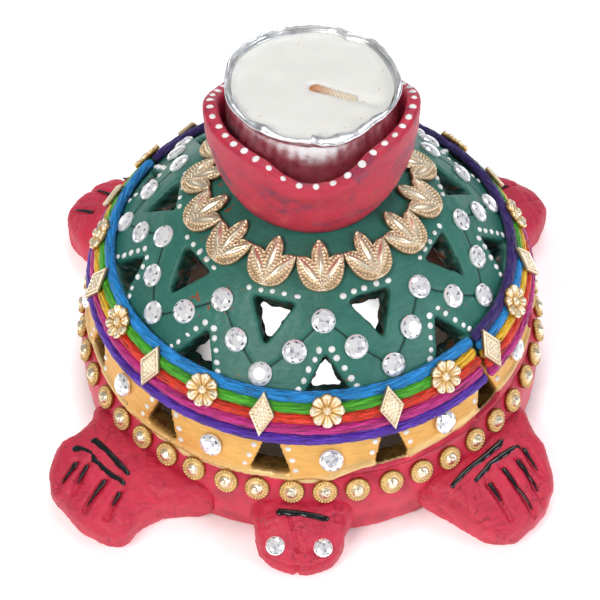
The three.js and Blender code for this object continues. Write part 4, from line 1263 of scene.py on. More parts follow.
def shaken(frames, amount, seed):
    """Frames moved a little at random in their own plane, as a hand places things."""
    origin, across, up, outward = frames
    random = np.random.default_rng(seed)
    move = random.normal(size=(len(origin), 2)) * amount
    return [origin + move[:, :1] * across + move[:, 1:] * up, across, up, outward]


def make_dots(name, frames, width, material, seed):
    """White dots squeezed on: each a low cap, 1 - share^2 high, on a foot sunk in the paint. No two
    are quite as wide, long or tall."""
    share = np.array([0, 0.45, 0.8, 1, 1.02])
    rise = np.array([0.42, 0.36, 0.2, 0.02, -0.35])
    turn = np.arange(10) * 2 * math.pi / 10
    x = share[:, None] * np.sin(turn) * width / 2
    y = share[:, None] * np.cos(turn) * width / 2
    z = np.repeat(rise[:, None], 10, 1)
    foot = np.zeros((1, 10, 3)) + np.array([0, 0, -0.35])
    cap = np.concatenate([np.stack([x, y, z], -1), foot]).reshape(-1, 3)
    frames = shaken(frames, 0.1, seed)
    random = np.random.default_rng(seed + 1)
    stretch = random.normal(size=(len(frames[0]), 1, 3)) * (0.09, 0.12, 0.1) + 1
    points = laid_on(frames, cap[None] * stretch)
    faces = repeated(grid_faces(6, 10), len(frames[0]), 60)
    mesh = new_mesh(name, points, faces)
    add_piece(mesh, material)


def dome_dot_frames():
    """Dots on the dome: five down each side of a lower cut-out, five along the top of an upper one."""
    width, height, share = LOWER_HOLE
    corners = triangle(width, height, 1)
    down = np.array([0.02, 0.24, 0.47, 0.7, 0.93])
    left = beside(corners[2], corners[0], down, -1.5)
    right = beside(corners[2], corners[1], down, 1.5)
    upper_width, upper_height, upper_share = UPPER_HOLE
    top = triangle(upper_width, upper_height, -1)
    over = beside(top[0], top[1], np.array([-0.04, 0.2, 0.44, 0.7, 0.96]), 1.5)
    frames = []
    for angle in chevron_angles():
        for row in (left, right):
            frames.append(on_dome(share, angle, row[:, 0], row[:, 1]))
        frames.append(on_dome(upper_share, angle + 180 / CHEVRONS, over[:, 0], over[:, 1]))
    return joined(frames)


WINDOW_TOP = float(bezier(WALL_CURVE, DOME_SEAM)[1]) - 1.4


def band_dot_frames():
    """Dots on the waist band: three beside each side of every window."""
    heights = np.array([0.1, 0.32, 0.54])
    frames = []
    for angle in window_angles():
        low = max(BASE_HEIGHT + 1.5, float(paint_edge(angle)) + 0.2)
        z = low + heights * (WINDOW_TOP - low)
        for hand in (-1, 1):
            half = WINDOW_WIDTH / 2 * (WINDOW_TOP - z) / (WINDOW_TOP - BASE_HEIGHT - 1.3) + 1.6
            share = share_at_height(z)
            radius = bezier(WALL_CURVE, share)[:, 0]
            frames.append(shell_frames(WALL_CURVE, share, angle + hand * np.degrees(half / radius)))
    return joined(frames)


def rim_dot_frames():
    """Dots on the bowl's rim, all round, lying on its top."""
    angle = np.arange(43) * 360 / 43 + 2
    out, side = directions(angle)
    middle = BOWL_RIM_RADIUS - 0.5 * BOWL_WALL
    flat = middle * out + np.array([0, 0, RIM_HEIGHT])
    here = spout(flat)
    inward = spout(flat - 0.5 * out)
    outer = spout(flat + 0.5 * out)
    onward = spout(flat + 0.5 * side)
    across = onward - here
    across /= np.linalg.norm(across, axis=-1, keepdims=True)
    up = outer - inward
    up /= np.linalg.norm(up, axis=-1, keepdims=True)
    normal = np.cross(across, up)
    normal *= np.sign(normal[:, 2:])
    return [here - 0.1 * normal, across, np.cross(normal, across), normal]


def make_stones(name, frames, width, material, seed, replaces=()):
    """Cut stones: an eight-sided table that shows eight facets under it, eight star and eight kite
    facets, sixteen girdle facets, a rim round them, an upright edge and a flat back. Every facet
    keeps a brightness of its own in `facet`: a painted reflection, bright on the rim and the edge."""
    half = width / 2
    step = math.pi / 8
    even, odd = np.arange(8) * 2 * step, np.arange(8) * 2 * step + step
    girdle = np.arange(16) * step
    rings = ((even, 0.48, 0.4), (odd, 0.7, 0.33), (girdle, 0.87, 0.24), (girdle, 1.0, 0.1),
             (girdle, 0.97, -0.1))
    stone = np.concatenate([
        half * np.column_stack([share * np.sin(turn), share * np.cos(turn), np.full(len(turn), z)])
        for turn, share, z in rings
    ] + [[[0, 0, 0.4 * half]]])
    i = np.arange(8)
    j = np.arange(16)
    on = (i + 1) % 8
    back = (i - 1) % 8
    faces = np.stack([np.full(8, len(stone) - 1), on, i], -1).tolist()
    faces += np.stack([i, on, 8 + i], -1).tolist()
    faces += np.stack([i, 8 + i, 16 + 2 * i, 8 + back], -1).tolist()
    faces += np.stack([8 + i, 17 + 2 * i, 16 + 2 * i], -1).tolist()
    faces += np.stack([8 + i, 16 + (2 * i + 2) % 16, 17 + 2 * i], -1).tolist()
    for first in (16, 32):
        after = first + (j + 1) % 16
        faces += np.stack([first + j, after, after + 16, first + 16 + j], -1).tolist()
    faces += [(48 + j).tolist()]
    count = len(frames[0])
    random = np.random.default_rng(seed)
    # Darkest and brightest painted reflection of each kind of facet, and how many of them a stone has.
    ranges = [(0.3, 1, 8), (0.35, 1, 8), (0.7, 1, 8), (0.0, 0.5, 8), (0.3, 1, 8), (0.6, 1, 16),
              (0.7, 1, 16), (0.5, 0.6, 1)]
    painted_reflections = np.concatenate([random.uniform(low, high, (count, n)) for low, high, n in ranges], 1)
    turned_by = random.uniform(0, 6.28, count)
    tilt = random.normal(size=(count, 2)) * 0.06
    origin, across, up, outward = frames
    new_across = np.cos(turned_by)[:, None] * across + np.sin(turned_by)[:, None] * up
    outward = outward + tilt[:, :1] * across + tilt[:, 1:] * up
    outward /= np.linalg.norm(outward, axis=-1, keepdims=True)
    new_across -= (new_across * outward).sum(-1, keepdims=True) * outward
    new_across /= np.linalg.norm(new_across, axis=-1, keepdims=True)
    placed = [origin, new_across, np.cross(outward, new_across), outward]
    points = laid_on(placed, stone[None])
    mesh = bpy.data.meshes.new(name)
    all_faces = [[v + copy * len(stone) for v in face] for copy in range(count) for face in faces]
    mesh.from_pydata((points.reshape(-1, 3) * MM).tolist(), [], all_faces)
    layer = mesh.attributes.new("facet", "FLOAT", "FACE")
    layer.data.foreach_set("value", painted_reflections.astype(np.float32).ravel())
    weld(mesh)
    add_piece(mesh, material, replaces=replaces, smooth=False)


def dome_stone_frames():
    """Four stones to a chevron: one at its point, one half way down each side, one in the valley."""
    half = 180 / CHEVRONS
    frames = []
    for offset, radius in ((0, 34.4), (-half / 2, 39.4), (half / 2, 39.4), (half, 43.6)):
        share = share_at_radius(DOME_CURVE, radius)
        frames.append(shell_frames(DOME_CURVE, np.full(CHEVRONS, share), chevron_angles(offset), 0.25))
    return shaken(joined(frames), 0.2, 51)


def band_stone_frames():
    """A stone in the middle of each panel between two windows."""
    angle = window_angles(15)
    height = (paint_edge(angle) + 31) / 2
    origin, side, up, outward = shell_frames(WALL_CURVE, share_at_height(height), angle, 0.6)
    lean = math.radians(12)
    facing = math.cos(lean) * outward + math.sin(lean) * up
    return shaken([origin, side, np.cross(facing, side), facing], 0.2, 52)


# ---------------------------------------------------------------- stamped gilt trims

def make_trim(name, frames, shape, material, replaces=()):
    """One or more stamped trims of the same shape, laid on frames."""
    points, relief, rows, segments = shape
    count = len(np.atleast_2d(frames[0]))
    placed = laid_on(frames, points[None])
    faces = repeated(grid_faces(rows, segments), count, len(points))
    mesh = new_mesh(name, placed, faces, values={"relief": np.tile(relief, count)})
    add_piece(mesh, material, replaces=replaces)


def bell(value, middle, width):
    """1 at the middle, falling off as a bell."""
    return np.exp(-((value - middle) / width) ** 2)


def stud_shape(width, thickness=0.6):
    """A round stud: a rim of beads, a thin ring inside it, and a domed middle with a swirl."""
    rings, segments = 18, 78

    def height(rho, phi, x, y):
        beads = 0.6 * bell(rho, 0.86, 0.11) * (0.62 + 0.38 * np.cos(22 * phi))
        ring = 0.5 * bell(rho, 0.64, 0.07)
        dome = 1.15 * np.clip(1 - (rho / 0.56) ** 2, 0, 1) ** 0.6
        swirl = 0.16 * np.cos(2 * phi + 9 * rho) * bell(rho, 0.3, 0.14)
        cone = 0.35 * (1 - rho)
        return beads + ring + dome + swirl + cone

    points, relief = polar_relief(lambda turn: np.full_like(turn, width / 2), height, rings, segments,
                                  thickness)
    return points, relief, rings + 2, segments


def flower_shape(width, petals=8, thickness=0.5):
    """A daisy: eight cupped petals with a raised edge and a fold down the middle, and a round boss."""
    rings, segments = 26, 128

    def outline(turn):
        return width / 2 * (0.83 + 0.17 * np.abs(np.cos(petals / 2 * turn)) ** 0.55)

    def height(rho, phi, x, y):
        within = np.abs(np.cos(petals / 2 * phi))
        petal = 0.75 * within ** 0.6 * bell(rho, 0.72, 0.33)
        edge = 0.35 * bell(rho, 0.93, 0.08) * within
        fold = -0.4 * bell(within, 1, 0.07) * bell(rho, 0.66, 0.2)
        boss = 0.95 * np.clip(1 - (rho / 0.27) ** 2, 0, 1) ** 0.6
        return petal + edge + fold + boss + 0.1 * np.cos(5 * phi) * bell(rho, 0.15, 0.08)

    points, relief = polar_relief(outline, height, rings, segments, thickness)
    return points, relief, rings + 2, segments


def diamond_shape(width, long, thickness=0.7):
    """A lozenge: a raised border, then a step, and a lozenge inside filled with fine crossing ribs."""
    rings, segments = 28, 128

    def outline(turn):
        return 1 / (np.abs(np.sin(turn)) * 2 / width + np.abs(np.cos(turn)) * 2 / long)

    def height(rho, phi, x, y):
        border = 0.4 * bell(rho, 0.92, 0.07)
        inner = 0.34 * bell(rho, 0.62, 0.06)
        field = 0.16 * (1 + np.cos(5.2 * (x + 0.6 * y)) * np.cos(5.2 * (x - 0.6 * y))) * (rho < 0.56)
        beads = 0.22 * bell(rho, 0.77, 0.07) * (0.5 + 0.5 * np.cos(7.5 * y))
        return border + inner + field + beads + 0.2 * (1 - rho)

    points, relief = polar_relief(outline, height, rings, segments, thickness)
    return points, relief, rings + 2, segments


# Outline of a leaf about the place its petals spring from: degrees away from the middle petal, and
# reach as a share of the leaf's length.
LEAF_TURNS = (0, 8, 17, 25, 33, 46, 60, 80, 105, 135, 160, 180)
LEAF_REACHES = (0.71, 0.64, 0.52, 0.38, 0.49, 0.63, 0.56, 0.48, 0.42, 0.35, 0.3, 0.29)
LEAF_SPRING = -0.21


def leaf_shape(width, long, thickness=0.8):
    """A leaf of three pointed petals that spring from near its foot. Each petal is an almond about its
    own line, with a row of beads just inside its edge, another outside it, and a smooth swelling down
    its middle."""
    rings, segments = 36, 200
    petals = ((-35, 0.74), (0, 0.88), (35, 0.74))
    base = -0.2 * long

    def outline(turn):
        away = np.degrees(np.abs((turn + math.pi) % (2 * math.pi) - math.pi))
        narrowed = 1 - (1 - width / long) * np.sin(turn) ** 2
        return long * np.interp(away, LEAF_TURNS, LEAF_REACHES) * narrowed

    def height(rho, phi, x, y):
        total = np.full_like(rho, 0.12)
        for degrees, reach in petals:
            turn = math.radians(degrees)
            along = x * math.sin(turn) + (y - base) * math.cos(turn)
            aside = np.abs(x * math.cos(turn) - (y - base) * math.sin(turn))
            t = np.clip(along / (reach * long), 0, 1)
            half = long * (0.015 + 0.125 * np.sin(math.pi * np.clip(t, 0.03, 0.97) ** 0.9) ** 0.8)
            b = aside / half
            beads = 0.4 + 0.6 * np.cos(2 * math.pi * along / 0.8)
            cushion = 0.42 * np.clip(1 - b ** 2, 0, 1) ** 0.7
            inner_row = 0.45 * bell(b, 0.76, 0.16) * beads
            outer_row = 0.45 * bell(b, 1.32, 0.16) * beads * (t > 0.02) * (t < 0.8)
            almond = 0.5 * bell(b, 0, 0.24) * bell(t, 0.58, 0.22)
            total = np.maximum(total, cushion + inner_row + outer_row + almond)
        edge = 0.5 * bell(rho, 0.92, 0.06) * (0.45 + 0.55 * np.cos(34 * phi))
        return np.maximum(total, edge)

    points, relief = polar_relief(outline, height, rings, segments, thickness)
    points[:, 1] += LEAF_SPRING * long
    return points, relief, rings + 2, segments


# ---------------------------------------------------------------- cords

# The cords: name, first colour, row from the top down, angles they run from and to past the back,
# and the angles by which they have changed colour.
CORDS = (
    ("cord_blue", "blue", 1, -125, 49.5, ()),
    ("cord_dark_purple", "purple", 1, 50.5, 234, ()),
    ("cord_green", "blue", 2, 50.5, 409, (("grass", 90), ("yellow", 397))),
    ("cord_red", "orange", 3, -62, 49.5, ()),
    ("cord_yellow", "yellow", 3, 50.5, 297, ()),
    ("cord_magenta", "orange", 4, 50.5, 409, (("magenta", 100),)),
    ("cord_violet", "violet", 5, -161, 49.5, ()),
    ("cord_pink", "magenta", 5, 50.5, 198, ()),
)
CORD_RADIUS = 50        # of the shell where the cords lie, to turn angles into lengths


def make_cord(name, row, start, end, width, material, seed):
    """A bundle of silk glued round the shell. Its section is an ellipse whose edge swells and sinks
    over a few strands, and the strands turn slowly as they run along it."""
    length = math.radians(end - start) * CORD_RADIUS
    steps = int(length / 0.5)
    share = float(row_share(row - 0.5))
    angle = np.linspace(start, end, steps)
    wander = waves(np.column_stack([angle * 0.9, np.zeros(steps), np.full(steps, seed)]), 26, seed)
    centre, _, up, outward = shell_frames(WALL_CURVE, np.full(steps, share), angle, GAP + 0.46 * width)
    centre = centre + 0.16 * wander[:, None] * up
    around = np.arange(40) * 2 * math.pi / 40
    along = np.linspace(0, length, steps)[:, None]
    coarse = 0.07 * np.cos(6 * (around + along * 0.22))
    strands = coarse + 0.05 * np.cos(11 * (around - along * 0.13) + 1)
    taper = np.clip(np.minimum(along, length - along) / 0.8, 0.05, 1) ** 0.4
    half = width / 2 * (1 + strands) * taper
    across = 1.06 * half * np.cos(around)
    proud = 0.9 * half * np.sin(around)
    points = centre[:, None] + across[..., None] * up[:, None] + proud[..., None] * outward[:, None]
    ends = centre[[0, -1]][:, None].repeat(40, 1)
    points = np.concatenate([ends[:1], points, ends[1:]])
    run = np.concatenate([[0.0], along[:, 0], [length]])[:, None] + np.zeros(40)
    twist = run * 0.05
    round_mm = (around / (2 * math.pi))[None, :] * math.pi * width + twist
    mesh = new_mesh(name + "_silk", points, grid_faces(steps + 2, 40), uv=np.stack([run, round_mm], -1))
    add_piece(mesh, material, replaces=[name])


# ---------------------------------------------------------------- tealight

CUP_RADIUS = CUP_HIGH[0]


def cup_radius(angle, height):
    """Radius of the tealight's cup: it leaves its round as it was handled, more so towards the rim,
    it is pressed in at the front and at the back right, and its wall is drawn in under the rim."""
    climb = np.clip((height - CUP_LOW[2]) / (CUP_HIGH[2] - CUP_LOW[2]), 0, 1)
    turn = np.radians(angle)
    bent = 0.24 * np.sin(3 * turn + 1.1) + 0.18 * np.sin(5 * turn + 0.4) + 0.1 * np.sin(9 * turn)
    pressed = 0.7 * bell(angle, -6, 10) + 1.0 * bell(angle, 152, 8) + 0.5 * bell(angle, 46, 9)
    flare = 0.5 * bell(angle, 70, 20) + 0.35 * bell(angle, 20, 12)
    tuck = 1.1 * np.clip((climb - 0.52) / 0.3, 0, 1) ** 1.2 * np.clip((0.94 - climb) / 0.1, 0, 1)
    return CUP_RADIUS + climb ** 2 * (bent - pressed + flare) - 0.25 * (1 - climb) - tuck


def make_cup(material):
    """The aluminium cup: flat floor, fluted wall, and a rim rolled over and crumpled, most at the front,
    where a wide fold of foil lies over the wax."""
    foot, top = CUP_LOW[2], CUP_HIGH[2]
    wall_z = np.linspace(foot + 0.9, top - 1.3, 34)
    climb = (wall_z - foot) / (top - foot)
    angle = np.arange(360.0)
    out, _ = directions(angle)
    flutes = 0.1 * np.cos(np.radians(46 * angle))[None, :] * bell(climb, 0.5, 0.3)[:, None]
    radius = cup_radius(angle[None, :], wall_z[:, None]) + flutes
    rim_radius = cup_radius(angle, top)
    crumple = waves(out * 19, 9, 61, 2)
    pinch = waves(out * 19, 5, 63, 2)
    fold = 0.4 + 1.3 * bell(angle, 20, 40) + 0.9 * bell(angle, 322, 32) + 0.7 * bell(angle, 78, 9)
    roll = np.array([(0.1, -1.0), (0.4, -0.6), (0.42, -0.25), (0.2, 0.0), (-0.3, 0.1), (-0.8, 0.0),
                     (-1.15, -0.25), (-1.25, -0.6), (-0.9, -0.9), (-0.45, -1.3)])
    rolled = []
    for across, rise in roll:
        wide = across * fold * (1 + 0.5 * crumple) + 0.25 * pinch * (across < 0)
        lift = rise + (0.4 * crumple + 0.25 * pinch) * (rise > -1.2) * np.minimum(fold, 1)
        rolled.append((rim_radius + wide)[:, None] * out + (top + lift)[:, None] * UP)
    outer = radius[..., None] * out + wall_z[:, None, None] * UP
    outer = np.concatenate([outer, rolled])
    inner = (radius - 0.35)[::-1, :, None] * out + wall_z[::-1, None, None] * UP
    shares = np.linspace(0, 0.95, 6)[:, None, None]
    below = shares * (CUP_RADIUS - 0.3) * out + foot * UP
    above = shares[::-1] * (CUP_RADIUS - 1.0) * out + (foot + 0.4) * UP
    grid = np.concatenate([below, outer, inner, above])
    mesh = new_mesh("tealight_foil", grid, grid_faces(*grid.shape[:2]))
    add_piece(mesh, material, "tealight", ["tealight_cup"])


WICK_ANGLE = 70


def make_wax(material):
    """The wax: it fills the cup, climbs a little at its edge, and has a trough where the wick was
    pressed into it."""
    top = WAX_HIGH[2]
    angle = np.arange(240) * 1.5
    out, _ = directions(angle)
    share = np.linspace(0, 1, 60)[:, None]
    edge = cup_radius(angle, top) - 0.6
    flat = (share * edge)[..., None] * out
    wick_out, wick_side = directions(WICK_ANGLE)
    along = flat @ wick_out
    aside = flat @ wick_side
    ends = np.clip((along + 1.5) / 1.5, 0, 1) * np.clip((17 - along) / 2, 0, 1)
    trough = 0.6 * bell(aside, 0, 1.25) * ends
    meniscus = 0.5 * np.clip((share - 0.9) / 0.1, 0, 1) ** 2
    height = top - trough + meniscus + 0.12 * waves(flat, 14, 71)
    surface = flat + height[..., None] * UP
    low = WAX_LOW[2]
    side_z = np.linspace(top - 0.4, low + 0.6, 8)
    side = (np.minimum(cup_radius(angle[None, :], side_z[:, None]) - 0.5, edge))[..., None] * out
    side = side + side_z[:, None, None] * UP
    below = np.linspace(0.97, 0, 5)[:, None, None] * (CUP_RADIUS - 0.9) * out + low * UP
    grid = np.concatenate([surface, side, below])
    mesh = new_mesh("tealight_wax", grid, grid_faces(*grid.shape[:2]))
    add_piece(mesh, material, "candle", ["wax"])


def make_wick(material):
    """The wick: up through the wax, bent over at the surface and lying in its trough."""
    top = WAX_HIGH[2]
    low = box_mm("wick")[0][2]
    out, _ = directions(WICK_ANGLE)
    stops = np.array([(0, low), (0, top - 4), (0, top - 0.9), (0.7, top + 0.1), (2.4, top - 0.05),
                      (6, top - 0.35), (10.5, top - 0.5)])
    lengths = np.concatenate([[0], np.cumsum(np.linalg.norm(np.diff(stops, axis=0), axis=1))])
    along = np.linspace(0, lengths[-1], 150)
    path = np.column_stack([np.interp(along, lengths, stops[:, i]) for i in (0, 1)])
    kernel = np.ones(9) / 9
    path[4:-4] = np.column_stack([np.convolve(path[:, i], kernel, "valid") for i in (0, 1)])
    slope = np.gradient(path, axis=0)
    slope /= np.linalg.norm(slope, axis=1, keepdims=True)
    centre = path[:, :1] * out + path[:, 1:] * UP
    across = directions(WICK_ANGLE)[1]
    normal = slope[:, :1] * UP - slope[:, 1:] * out
    around = np.arange(20) * 2 * math.pi / 20
    twist = along[:, None] * 2.2
    braid = 1 + 0.12 * np.cos(3 * around + twist) * np.cos(3 * around - twist)
    taper = np.clip(np.minimum(along, lengths[-1] - along) / 0.4, 0.05, 1)[:, None] ** 0.5
    half = 0.78 * braid * taper
    points = (centre[:, None] + (half * np.cos(around))[..., None] * across
              + (half * np.sin(around))[..., None] * normal[:, None])
    ends = centre[[0, -1]][:, None].repeat(20, 1)
    points = np.concatenate([ends[:1], points, ends[1:]])
    run = np.concatenate([[0.0], along, [lengths[-1]]])[:, None] + np.zeros(20)
    mesh = new_mesh("tealight_wick", points, grid_faces(152, 20),
                    uv=np.stack([run, np.zeros((152, 1)) + around * 0.78], -1))
    add_piece(mesh, material, "candle", ["wick"])


# ---------------------------------------------------------------- stage

CAMERA_DEPRESSION = 47.96
CAMERA_DISTANCE = 508.9
CAMERA_TARGET = (-2.55, 0.0, 19.3)
CAMERA_LENS = 126.0


def make_camera():
    """A long lens looking down on the head and the front of the dome."""
    data = bpy.data.cameras.new("camera")
    data.lens = CAMERA_LENS
    camera = bpy.data.objects.new("camera", data)
    bpy.context.scene.collection.objects.link(camera)
    drop = math.radians(CAMERA_DEPRESSION)
    x, y, z = CAMERA_TARGET
    place = (x, y - CAMERA_DISTANCE * math.cos(drop), z + CAMERA_DISTANCE * math.sin(drop))
    camera.location = [value * MM for value in place]
    camera.rotation_euler = (math.pi / 2 - drop, 0, 0)
    data.clip_start = 0.01
    bpy.context.scene.camera = camera


def make_light(name, place, size, power, colour):
    """A soft box aimed at the middle of the diya."""
    data = bpy.data.lights.new(name, "AREA")
    data.size = size
    data.energy = power
    data.color = linear(colour)
    light = bpy.data.objects.new(name, data)
    bpy.context.scene.collection.objects.link(light)
    light.location = place
    light.rotation_euler = (-light.location.copy()).to_track_quat("-Z", "Y").to_euler()


def make_stage():
    """White floor, a pale grey room and three soft boxes."""
    floor_points = np.array([(-3000, -3000, -0.05), (3000, -3000, -0.05), (3000, 3000, -0.05),
                             (-3000, 3000, -0.05)], float)
    mesh = new_mesh("floor", floor_points, [[0, 1, 2, 3]])
    floor = bpy.data.objects.new("floor", mesh)
    bpy.context.scene.collection.objects.link(floor)
    mesh.materials.append(pale_paper())
    world = bpy.data.worlds.new("room")
    bpy.context.scene.world = world
    world.use_nodes = True
    background = world.node_tree.nodes["Background"]
    background.inputs["Color"].default_value = (*linear("#C9CCD2"), 1)
    background.inputs["Strength"].default_value = 0.5
    make_light("key", (-0.5, -0.8, 0.9), 0.45, 7.5, "#FFFBF4")
    make_light("fill", (0.9, -0.5, 0.6), 0.5, 4.0, "#F4F8FF")
    make_light("top", (0.1, 0.5, 1.2), 0.6, 5.0, "#FFFFFF")
    bpy.context.scene.view_settings.view_transform = "Standard"


# ---------------------------------------------------------------- operators

# The eyes are set a little off the middle of their nodes, on the clay as it was pinched.
EYE_SIDEWAYS = 0.7
EYE_OUTWARDS = 0.5
EYE_LIFT = 0.35
STUD_LEAN = 24          # the studs tilt up as the ring's shoulder leans in

class MakeStage(bpy.types.Operator):
    """Make the camera, the floor and the lights"""
    bl_idname = "diya.stage"
    bl_label = "Stage"

    def execute(self, context):
        make_camera()
        make_stage()
        return {"FINISHED"}


class MakeShell(bpy.types.Operator):
    """Make the pierced dome, the waist band and the base ring"""
    bl_idname = "diya.shell"
    bl_label = "Shell"

    def execute(self, context):
        sizes, colours = context.scene.diya_sizes, context.scene.diya_colours
        green = poster_paint("green_poster_paint", tuple(colours.green), tuple(colours.clay), 0.42,
                             grooves=True, wall=True)
        make_dome(sizes, green)
        make_band(sizes, painted_edge("gold_over_red_band", colours, wall=True))
        make_ring(sizes, painted_edge("gold_over_red_ring", colours))
        return {"FINISHED"}


class MakeLimbs(bpy.types.Operator):
    """Make the head, the flippers and the tail, with their black strokes"""
    bl_idname = "diya.limbs"
    bl_label = "Head, flippers and tail"

    def execute(self, context):
        sizes, colours = context.scene.diya_sizes, context.scene.diya_colours
        red = poster_paint("red_poster_paint", tuple(colours.red), tuple(colours.clay), 0.5, cracks=0.35)
        black = thick_enamel("black_enamel", tuple(colours.black), 0.1)
        for name, limb in LIMBS.items():
            make_limb(name, limb, sizes, red)
            make_strokes(name, limb, black)
        return {"FINISHED"}


class MakeBowl(bpy.types.Operator):
    """Make the spouted bowl"""
    bl_idname = "diya.bowl"
    bl_label = "Bowl"

    def execute(self, context):
        sizes, colours = context.scene.diya_sizes, context.scene.diya_colours
        # The bowl's red is a copy of the red paint at 0.84 of its brightness: painted shade, as the
        # bowl's top catches more light than the other red parts.
        red = poster_paint("red_poster_paint_scuffed", shaded(tuple(colours.red), 0.84),
                           tuple(colours.clay), 0.46, scuffs=0.75)
        make_bowl(sizes, red)
        return {"FINISHED"}


class MakeTealight(bpy.types.Operator):
    """Make the tealight: its cup, wax, wick and sustainer"""
    bl_idname = "diya.tealight"
    bl_label = "Tealight"

    def execute(self, context):
        colours = context.scene.diya_colours
        make_cup(pressed_sheet("thin_aluminium_sheet", linear("#FAFBFC"), 0.3, 0.35))
        make_wax(paraffin_wax(tuple(colours.wax)))
        make_wick(waxed_cotton())
        tin = pressed_sheet("tin_plate", linear("#B9BBBD"), 0.3, 0.2)
        for material_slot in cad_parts["wick_sustainer"].material_slots:
            material_slot.material = tin
        return {"FINISHED"}


class MakeCords(bpy.types.Operator):
    """Make the silk cords round the waist"""
    bl_idname = "diya.cords"
    bl_label = "Silk cords"

    def execute(self, context):
        sizes, colours = context.scene.diya_sizes, context.scene.diya_colours
        for i, (name, colour, row, start, end, changes) in enumerate(CORDS):
            dyes = [(tuple(getattr(colours, other)), math.radians(angle - start) * CORD_RADIUS)
                    for other, angle in changes]
            silk = silk_thread(name + "_silk_thread", tuple(getattr(colours, colour)), dyes)
            make_cord(name, row, start, end, sizes.cord_width / MM, silk, 80 + i)
        return {"FINISHED"}


class MakeTrims(bpy.types.Operator):
    """Make the gilt leaves, flowers, diamonds and studs"""
    bl_idname = "diya.trims"
    bl_label = "Gilt trims"

    def execute(self, context):
        sizes, colours = context.scene.diya_sizes, context.scene.diya_colours
        champagne = gilt_stamping("champagne_gilt_stamping", tuple(colours.champagne), linear("#8E5F36"))
        gilt = gilt_stamping("gold_gilt_stamping", tuple(colours.gilt), linear("#A8641F"))
        place = float(bezier(DOME_CURVE, LEAF_PLACE)[0])
        leaf = leaf_shape(2 * place * math.sin(math.pi / LEAVES) - LEAF_SPACING, LEAF_LENGTH)
        for i in range(LEAVES):
            frames = shell_frames(DOME_CURVE, LEAF_PLACE, LEAF_START + i * 360 / LEAVES, GAP)
            make_trim(f"leaf_{i + 1}_gilt", frames, leaf, champagne, replaces=[f"leaf_{i + 1}"])
        flower = flower_shape(FLOWER_WIDTH)
        diamond = diamond_shape(DIAMOND_WIDTH, DIAMOND_LENGTH)
        pitch = 360 / FLOWERS
        on_cords = sizes.cord_width / MM + 0.1
        for i in range(FLOWERS):
            angle = FLOWER_START + i * pitch
            frames = shell_frames(WALL_CURVE, row_share(1.6), angle, on_cords)
            make_trim(f"flower_{i + 1}_gilt", frames, flower, gilt, replaces=[f"flower_{i + 1}"])
            frames = shell_frames(WALL_CURVE, row_share(2.2), angle + pitch / 2, on_cords)
            make_trim(f"diamond_{i + 1}_gilt", frames, diamond, champagne, replaces=[f"diamond_{i + 1}"])
        angle = (np.arange(sizes.stud_count) + 0.4) * 360 / sizes.stud_count
        out, side = directions(angle)
        up = np.broadcast_to([0, 0, 1.0], out.shape)
        height = sizes.stud_height / MM
        shoulder = RING_LEAN * ((height - RING_SHOULDER) / (BASE_HEIGHT - RING_SHOULDER)) ** 2
        radius = BASE_RADIUS + BASE_BULGE * math.sin(math.pi * height / BASE_HEIGHT) - shoulder
        origin = (radius + 0.1) * out + height * up
        lean = math.radians(STUD_LEAN)
        facing = math.cos(lean) * out + math.sin(lean) * up
        studs = shaken([origin, side, np.cross(facing, side), facing], 0.18, 91)
        make_trim("gilt_studs", studs, stud_shape(sizes.stud_width / MM), gilt)
        return {"FINISHED"}


class MakeStones(bpy.types.Operator):
    """Make the cut stones and the eyes"""
    bl_idname = "diya.stones"
    bl_label = "Cut stones"

    def execute(self, context):
        sizes = context.scene.diya_sizes
        glass = foil_backed_glass()
        width = sizes.stone_width / MM
        make_stones("dome_stones", dome_stone_frames(), width, glass, 53)
        make_stones("band_stones", band_stone_frames(), width, glass, 54)
        head = LIMBS["head"]
        out, side = directions(head["angle"])
        lean = 0.45 * out + 0.89 * UP    # the eyes look up and ahead
        for name in ("eye_left", "eye_right"):
            low, high = box_mm(name)
            middle = (low + high) / 2 + EYE_SIDEWAYS * side + EYE_OUTWARDS * out
            middle[2] = limb_height(head, middle @ side, middle @ out) + EYE_LIFT
            frames = [middle[None], side[None], np.cross(lean, side)[None], lean[None]]
            make_stones(name + "_stone", frames, sizes.eye_width / MM, glass, 55 + len(name), [name])
        return {"FINISHED"}


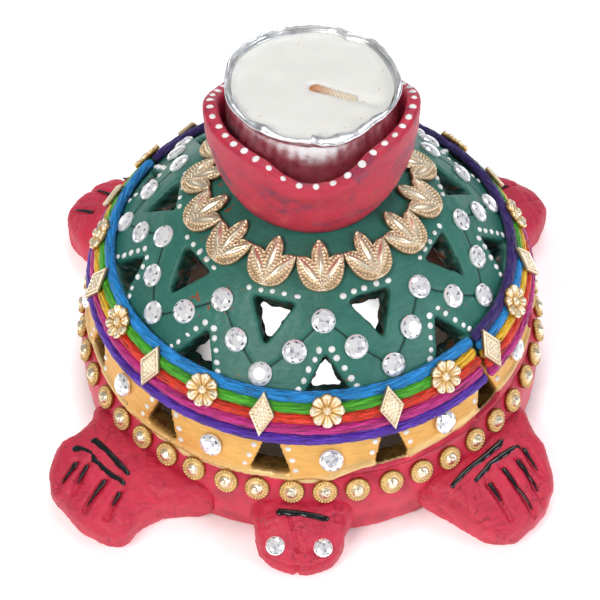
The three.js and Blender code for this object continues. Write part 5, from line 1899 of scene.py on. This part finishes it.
class MakeDots(bpy.types.Operator):
    """Make the white dots squeezed on the dome, the band and the bowl's rim"""
    bl_idname = "diya.dots"
    bl_label = "White dots"

    def execute(self, context):
        sizes, colours = context.scene.diya_sizes, context.scene.diya_colours
        white = thick_enamel("white_enamel", tuple(colours.white), 0.3)
        width = sizes.dot_width / MM
        make_dots("dome_dots", dome_dot_frames(), width, white, 95)
        make_dots("band_dots", band_dot_frames(), 0.95 * width, white, 97)
        make_dots("rim_dots", rim_dot_frames(), 1.15 * width, white, 99)
        return {"FINISHED"}


class DiyaPanel(bpy.types.Panel):
    """The diya's pieces, sizes and colours"""
    bl_idname = "VIEW3D_PT_diya"
    bl_label = "Tortoise Diya"
    bl_space_type = "VIEW_3D"
    bl_region_type = "UI"
    bl_category = "Diya"

    def draw(self, context):
        for operator in OPERATORS:
            self.layout.operator(operator.bl_idname)
        for group in (context.scene.diya_sizes, context.scene.diya_colours):
            for key in group.bl_rna.properties.keys():
                if key not in ("rna_type", "name"):
                    self.layout.prop(group, key)


OPERATORS = (MakeStage, MakeShell, MakeLimbs, MakeBowl, MakeTealight, MakeCords, MakeTrims, MakeStones,
             MakeDots)
CLASSES = (DiyaSizes, DiyaColours, *OPERATORS, DiyaPanel)


def register():
    """Make the add-on's classes known and give the scene its sizes and colours."""
    for each in CLASSES:
        bpy.utils.register_class(each)
    bpy.types.Scene.diya_sizes = PointerProperty(type=DiyaSizes)
    bpy.types.Scene.diya_colours = PointerProperty(type=DiyaColours)


def unregister():
    """Take the add-on's classes and the scene's properties away again."""
    del bpy.types.Scene.diya_colours
    del bpy.types.Scene.diya_sizes
    for each in reversed(CLASSES):
        bpy.utils.unregister_class(each)


def main():
    """Make every piece."""
    register()
    bpy.ops.diya.stage()
    bpy.ops.diya.shell()
    bpy.ops.diya.limbs()
    bpy.ops.diya.bowl()
    bpy.ops.diya.tealight()
    bpy.ops.diya.cords()
    bpy.ops.diya.trims()
    bpy.ops.diya.stones()
    bpy.ops.diya.dots()


if __name__ == "__main__":
    main()
